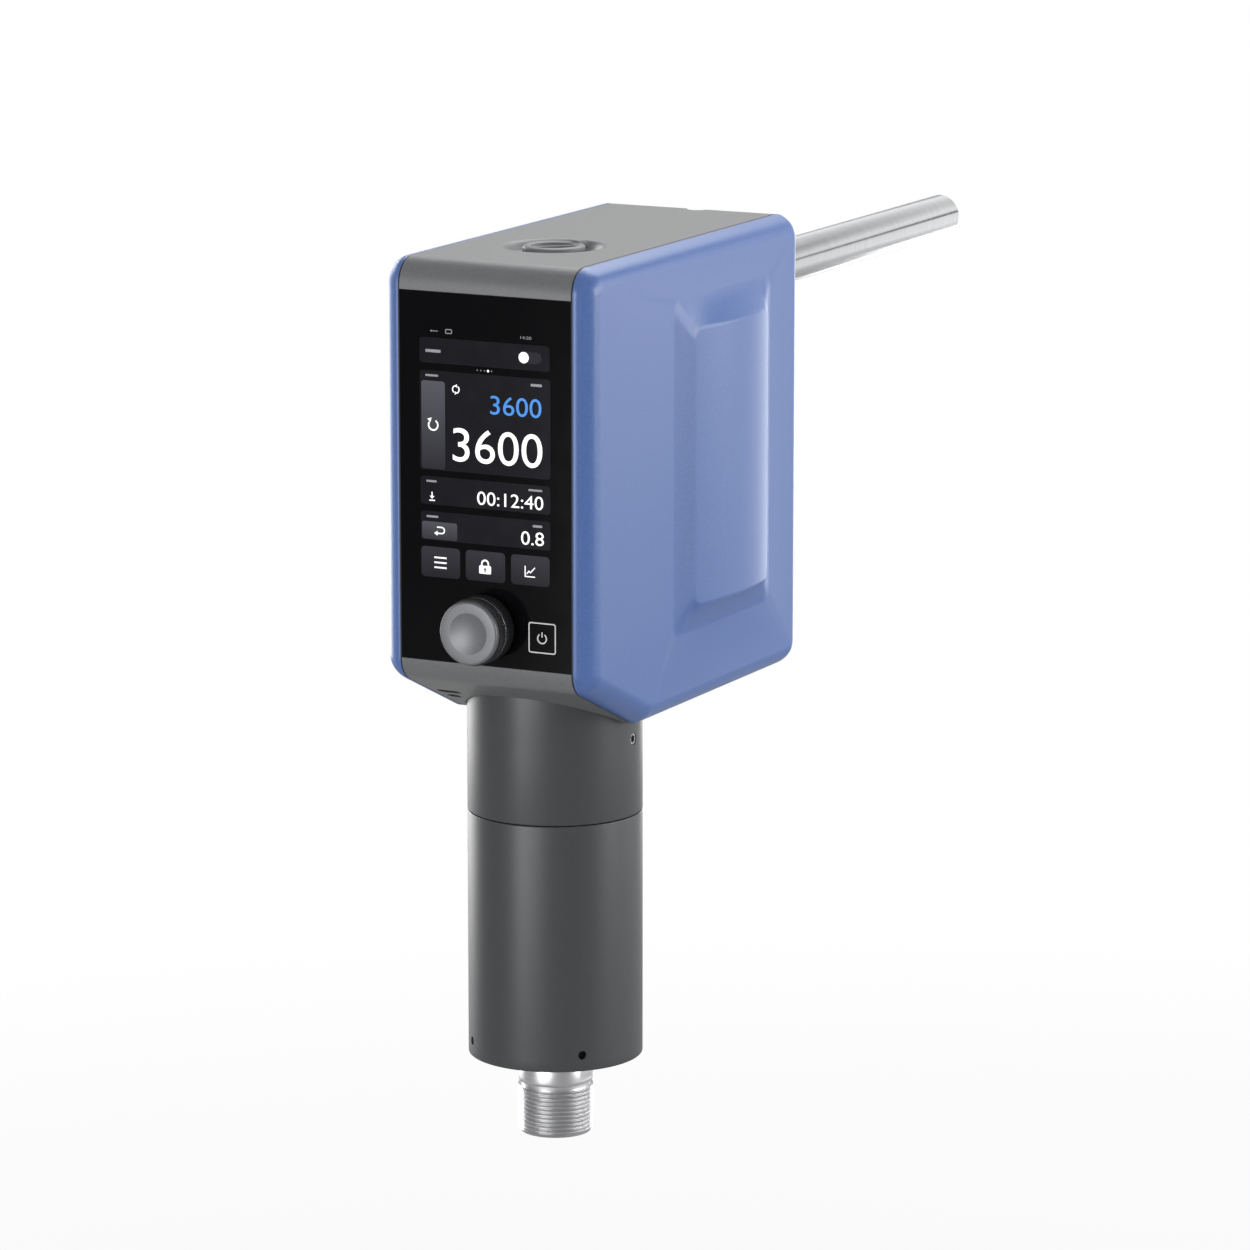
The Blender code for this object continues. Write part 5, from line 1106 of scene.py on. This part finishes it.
class STIRRER_OT_display(bpy.types.Operator):
    """Display under the glass with cards, keys, figures and marks, and the printed power key"""

    bl_idname = "stirrer.display"
    bl_label = "Display and print"

    def execute(self, context):
        cards = [
            (-24.7, -34.6, 24.5, -26.0),
            (-24.7, -71.0, 24.7, -37.2),
            (-24.6, -82.9, 24.6, -73.3),
            (-24.6, -95.1, 24.6, -85.3),
        ]
        side_key = [(-24.1, -70.7, -15.1, -40.7)]
        return_key = [(-24.1, -94.8, -10.7, -88.8)]
        row_keys = [
            (-24.5, -107.8, -9.7, -97.4),
            (-7.5, -107.7, 7.5, -97.4),
            (9.7, -107.6, 24.3, -97.4),
        ]
        track = [(13.2, -32.3, 21.5, -28.4)]
        for name, finish, boxes, radius, layer in (
            ("display_cards", "display_card", cards, 1.2, CARD_LAYER),
            ("display_side_key", "display_side_key", side_key, 1.0, KEY_LAYER),
            ("display_return_key", "display_return_key", return_key, 0.8, KEY_LAYER),
            ("display_row_keys", "display_row_keys", row_keys, 1.4, CARD_LAYER),
            ("display_switch_track", "display_button", track, 1.9, KEY_LAYER),
        ):
            piece(sheet(boxes, radius, layer), name, finish)
        bright = Shape()
        figures(bright, "3600", (-12.2, -67.5, 21.7, -56.0))
        figures(bright, "00:12:40", (-3.0, -81.6, 22.0, -77.0))
        figures(bright, "0.8", (13.6, -93.8, 22.2, -89.2))
        for draw_mark in (direction_marks, timer_mark, return_mark, menu_mark, lock_mark, chart_mark):
            draw_mark(bright)
        disc(bright, (14.8, -30.4), 1.9)
        disc(bright, (1.35, -35.9), 0.42)
        piece(bright, "display_figures", "display_white")
        blue = Shape()
        figures(blue, "3600", (2.1, -50.5, 21.4, -44.1))
        piece(blue, "display_set_value", "display_blue")
        dim = Shape()
        status_marks(dim)
        for place in (-2.7, -1.35, 0.0, 2.7):
            disc(dim, (place, -35.9), 0.22)
        piece(dim, "display_status", "display_grey")
        # Plain bars stand where a screen would name each value and its unit.
        bars = [
            (-22.4, -31.0, -16.6, -30.0),
            (-22.5, -39.2, -17.6, -38.5),
            (17.4, -39.9, 21.6, -39.0),
            (-22.4, -75.3, -18.4, -74.6),
            (16.4, -75.4, 21.6, -74.7),
            (-22.4, -87.4, -17.9, -86.7),
            (18.0, -87.6, 21.6, -86.8),
        ]
        piece(sheet(bars, 0.3, INK_LAYER), "display_bars", "display_grey")
        hole = Shape()
        disc(hole, (-0.1, -103.5), 0.4, MARK_LAYER)
        slab(hole, box_outline(-0.3, -104.6, 0.1, -103.8, 0.1, 2), MARK_LAYER)
        piece(hole, "display_keyhole", "display_button")
        power = Shape()
        line(power, box_outline(16.5, -130.3, 26.4, -120.2, 0.7, 5), 0.42, closed=True)
        line(power, arc((21.4, -125.4), 1.65, 125, 415, 32), 0.45)
        line(power, [(21.4, -123.2), (21.4, -125.0)], 0.42)
        piece(power, "power_key_print", "pale_screen_print")
        return {"FINISHED"}


# Carried-over nodes and their finishes

NODE_FINISHES = {
    "powder_coat_grey": ["centre_frame"],
    "black_cover_glass": ["front_glass"],
    "moulded_abs_grey": ["top_cap"],
    "moulded_abs_dark": ["encoder_body", "data_socket", "sensor_socket", "power_inlet"],
    "moulded_nylon_light": ["switch_plunger", "ribbon_cable", "guide_tube"],
    "nitrile_seal": ["cap_seal", "shaft_seal"],
    "turned_stainless": ["spindle", "encoder_shaft"],
    "milled_aluminium": ["tube_flange", "base_plate", "seam_spigot", "rod_clamp_block"],
    "polished_aluminium": [
        *(f"upper_bearing_{part}" for part in ("outer", "inner", "balls")),
        *(f"lower_bearing_{part}" for part in ("outer", "inner", "balls")),
    ],
    "stacked_steel_sheets": ["stator_core", "rotor_core"],
    "enamelled_copper": ["stator_windings"],
    "nickel_plated_magnet": ["rotor_magnets"],
    "solder_mask_green": ["control_board", "supply_board"],
    "display_ground": ["display_module"],
    "black_oxide_steel": [
        *(f"clamp_screw_{number}" for number in (1, 2)),
        *(f"rim_screw_{number}" for number in (1, 2, 3, 4)),
        *(f"base_screw_{number}" for number in (1, 2, 3, 4)),
        "supply_choke",
        "supply_capacitor_1",
        "supply_capacitor_2",
    ],
}


class STIRRER_OT_nodes(bpy.types.Operator):
    """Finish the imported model's own pieces: welded, creased at sharp edges, smooth between"""

    bl_idname = "stirrer.nodes"
    bl_label = "Carried-over pieces"

    def execute(self, context):
        for kind, names in NODE_FINISHES.items():
            for name in names:
                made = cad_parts[name]
                made.data.materials.clear()
                made.data.materials.append(MATERIALS[kind])
                made.data.shade_smooth()
                weld = made.modifiers.new("weld", "WELD")
                weld.merge_threshold = 0.01 * MM
                split = made.modifiers.new("sharp_edges", "EDGE_SPLIT")
                split.split_angle = math.radians(30.0)
                normals = made.modifiers.new("even_faces", "WEIGHTED_NORMAL")
                normals.keep_sharp = True
        return {"FINISHED"}


# Stage, with lengths in metres and powers in watts

CAMERA_PLACE = (0.949325, -2.065317, 0.315857)
CAMERA_AZIMUTH = 26.573
CAMERA_ELEVATION = 11.422
CAMERA_LENS = 176.727
SENSOR_WIDTH = 36.0
PAPER_DROP = 0.30
PAPER_REACH = 6.0
WORLD_LIGHT = 0.29
AIM = (0, -0.2, -0.1)
LOWER_TUBE = (0, -0.24, -0.25)
LAMPS = (
    ("right_soft", (2.2, 0.3, 0.3), AIM, (1.2, 1.2), 20),
    ("right_back", (1.5, 1.3, 0.3), AIM, (1.0, 1.4), 11),
    ("rear_glow", (-0.11, 0.95, -0.15), AIM, (0.34, 0.5), 1.8),
    ("left_back", (-1.7, 0.6, 0.0), AIM, (1.2, 1.6), 26),
    ("front_strip", (-0.26, -1.1, -0.27), LOWER_TUBE, (0.2, 0.24), 0.55),
    ("front_fill", (-0.3, -2.6, 0.1), AIM, (1.4, 0.9), 20),
    ("top_soft", (-0.2, 1.1, 1.6), AIM, (1.6, 1.6), 26),
)


def area_light(name, place, aim, size, power):
    """A soft rectangular lamp at a place, turned to its aim and unseen by the camera."""
    data = bpy.data.lights.new(name, "AREA")
    data.shape = "RECTANGLE"
    data.size, data.size_y = size
    data.energy = power
    made = add_object(name, data)
    made.location = place
    made.rotation_euler = (Vector(aim) - Vector(place)).to_track_quat("-Z", "Y").to_euler()
    made.visible_camera = False


def straight_view(tree):
    """A ray node, and one that is 1 for what the camera sees, also through clear surfaces."""
    ray = node(tree, "ShaderNodeLightPath")
    kinds = {0: (ray, "Is Camera Ray"), 1: (ray, "Is Transmission Ray")}
    return ray, node(tree, "ShaderNodeMath", kinds, operation="MAXIMUM")


def paper_glow(tree):
    """The share of plain white that the paper shows in place of its own shading.

    Straight views see plain white, a little less near the stirrer so that its shadow shows.
    Mirror views see white behind the stirrer, which fades to the sides, close by and high up,
    with a dark band above the stirrer: edges get their sheen and the rod its dark line.
    """
    place = node(tree, "ShaderNodeTexCoord")
    ray, seen = straight_view(tree)
    away = node(tree, "ShaderNodeVectorMath", {0: (place, "Object")}, operation="LENGTH")
    reach = {"From Min": 0.7, "From Max": 1.4, "To Min": 0.88, "To Max": 1.0}
    share = node(tree, "ShaderNodeMapRange", {"Value": (away, "Value"), **reach})
    pair = {0: (seen, "Value"), 1: (share, "Result")}
    straight = node(tree, "ShaderNodeMath", pair, operation="MULTIPLY")
    pair = {0: (place, "Object"), 1: (1.0, 1.0, 0.0)}
    level = node(tree, "ShaderNodeVectorMath", pair, operation="MULTIPLY")
    facing = node(tree, "ShaderNodeVectorMath", {0: (level, "Vector")}, operation="NORMALIZE")
    parts = node(tree, "ShaderNodeSeparateXYZ", {"Vector": (facing, "Vector")})
    reach = {"From Min": 0.22, "From Max": 0.7, "To Min": 0.1, "To Max": 1.0}
    behind = node(tree, "ShaderNodeMapRange", {"Value": (parts, "Y"), **reach})
    run = node(tree, "ShaderNodeVectorMath", {0: (level, "Vector")}, operation="LENGTH")
    reach = {"From Min": 1.1, "From Max": 2.2, "To Min": 0.0, "To Max": 1.0}
    far = node(tree, "ShaderNodeMapRange", {"Value": (run, "Value"), **reach})
    heights = node(tree, "ShaderNodeSeparateXYZ", {"Vector": (place, "Object")})
    reach = {"From Min": 1.2, "From Max": 2.4, "To Min": 1.0, "To Max": 0.3}
    low = node(tree, "ShaderNodeMapRange", {"Value": (heights, "Z"), **reach})
    middle_and_half = {1: 0.42, 2: 0.20}
    band = node(tree, "ShaderNodeMath", {0: (heights, "Z"), **middle_and_half}, operation="COMPARE")
    clear = node(tree, "ShaderNodeMath", {0: 1.0, 1: (band, "Value")}, operation="SUBTRACT")
    mirrored = (ray, "Is Glossy Ray")
    for factor in ((behind, "Result"), (far, "Result"), (low, "Result"), (clear, "Value")):
        product = node(tree, "ShaderNodeMath", {0: mirrored, 1: factor}, operation="MULTIPLY")
        mirrored = (product, "Value")
    return node(tree, "ShaderNodeMath", {0: (straight, "Value"), 1: mirrored}, operation="MAXIMUM")


def paper_finish():
    """Matt paper mixed with plain white, so that the floor keeps the stirrer's shadow."""
    paper = bpy.data.materials.new("white_paper")
    paper.use_nodes = True
    tree = paper.node_tree
    shader = tree.nodes["Principled BSDF"]
    shader.inputs["Base Color"].default_value = linear(colours().backdrop)
    shader.inputs["Roughness"].default_value = 0.9
    shader.inputs["Specular IOR Level"].default_value = 0.0
    white = node(tree, "ShaderNodeEmission", {"Strength": 1.0})
    mixed = node(tree, "ShaderNodeMixShader", {0: (paper_glow(tree), "Value")})
    feed(tree, mixed, {1: (shader, "BSDF"), 2: (white, "Emission")})
    feed(tree, tree.nodes["Material Output"], {"Surface": (mixed, "Shader")})
    return paper


def lay_paper():
    """The paper: flat to half its reach behind the stirrer, a quarter round, then upright."""
    turn = np.linspace(0, math.pi / 2, 24)
    bend = np.stack([PAPER_REACH / 2 + np.sin(turn), 1 - np.cos(turn)], axis=1)
    profile = np.concatenate([[(-PAPER_REACH, 0.0)], bend, [(PAPER_REACH / 2 + 1, PAPER_REACH)]])
    across = np.array([[-PAPER_REACH, PAPER_REACH]])
    height = CAD_BOX[0][2] - PAPER_DROP + profile[:, 1:]
    grid = np.stack(np.broadcast_arrays(across, profile[:, :1], height), axis=-1)
    mesh = bpy.data.meshes.new("paper_sweep")
    mesh.from_pydata(grid.reshape(-1, 3).tolist(), [], grid_faces(len(profile), 2))
    mesh.shade_smooth()
    mesh.materials.append(paper_finish())
    sweep = add_object("paper_sweep", mesh)
    sweep.rotation_euler = (0, 0, math.radians(CAMERA_AZIMUTH))


def studio_world():
    """A world that straight views see plain white, and that lights the stirrer far less."""
    world = bpy.data.worlds.new("studio")
    world.use_nodes = True
    tree = world.node_tree
    background = tree.nodes["Background"]
    background.inputs["Color"].default_value = linear("#FFFFFF")
    seen = straight_view(tree)[1]
    reach = {"To Min": WORLD_LIGHT, "To Max": 1.0}
    strength = node(tree, "ShaderNodeMapRange", {"Value": (seen, "Value"), **reach})
    feed(tree, background, {"Strength": (strength, "Result")})
    return world


class STIRRER_OT_stage(bpy.types.Operator):
    """White floor and backdrop, soft lamps and the camera"""

    bl_idname = "stirrer.stage"
    bl_label = "Stage"

    def execute(self, context):
        scene = context.scene
        scene.view_settings.view_transform = "Standard"
        scene.world = studio_world()
        lay_paper()
        for lamp in LAMPS:
            area_light(*lamp)
        data = bpy.data.cameras.new("camera")
        data.lens = CAMERA_LENS
        data.sensor_width = SENSOR_WIDTH
        camera = add_object("camera", data)
        camera.location = CAMERA_PLACE
        turn_down = math.radians(90 - CAMERA_ELEVATION)
        camera.rotation_euler = (turn_down, 0, math.radians(CAMERA_AZIMUTH))
        scene.camera = camera
        return {"FINISHED"}


class STIRRER_PT_panel(bpy.types.Panel):
    """Lists the steps that dress the stirrer"""

    bl_idname = "STIRRER_PT_panel"
    bl_label = "Stirrer"
    bl_space_type = "VIEW_3D"
    bl_region_type = "UI"
    bl_category = "Stirrer"

    def draw(self, context):
        for group in (sizes(), colours()):
            for name in group.__annotations__:
                self.layout.prop(group, name)
        for step in STEPS:
            self.layout.operator(step.bl_idname)


STEPS = (
    STIRRER_OT_nodes,
    STIRRER_OT_covers,
    STIRRER_OT_tubes,
    STIRRER_OT_screws,
    STIRRER_OT_collar,
    STIRRER_OT_rod,
    STIRRER_OT_knob,
    STIRRER_OT_display,
    STIRRER_OT_stage,
)
CLASSES = (StirrerSizes, StirrerColours, *STEPS, STIRRER_PT_panel)


def register():
    for item in CLASSES:
        bpy.utils.register_class(item)
    bpy.types.Scene.stirrer_sizes = bpy.props.PointerProperty(type=StirrerSizes)
    bpy.types.Scene.stirrer_colours = bpy.props.PointerProperty(type=StirrerColours)


def unregister():
    del bpy.types.Scene.stirrer_colours
    del bpy.types.Scene.stirrer_sizes
    for item in reversed(CLASSES):
        bpy.utils.unregister_class(item)


def main():
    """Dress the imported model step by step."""
    register()
    make_finishes()
    for step in STEPS:
        group, name = step.bl_idname.split(".")
        getattr(getattr(bpy.ops, group), name)()


if __name__ == "__main__":
    main()
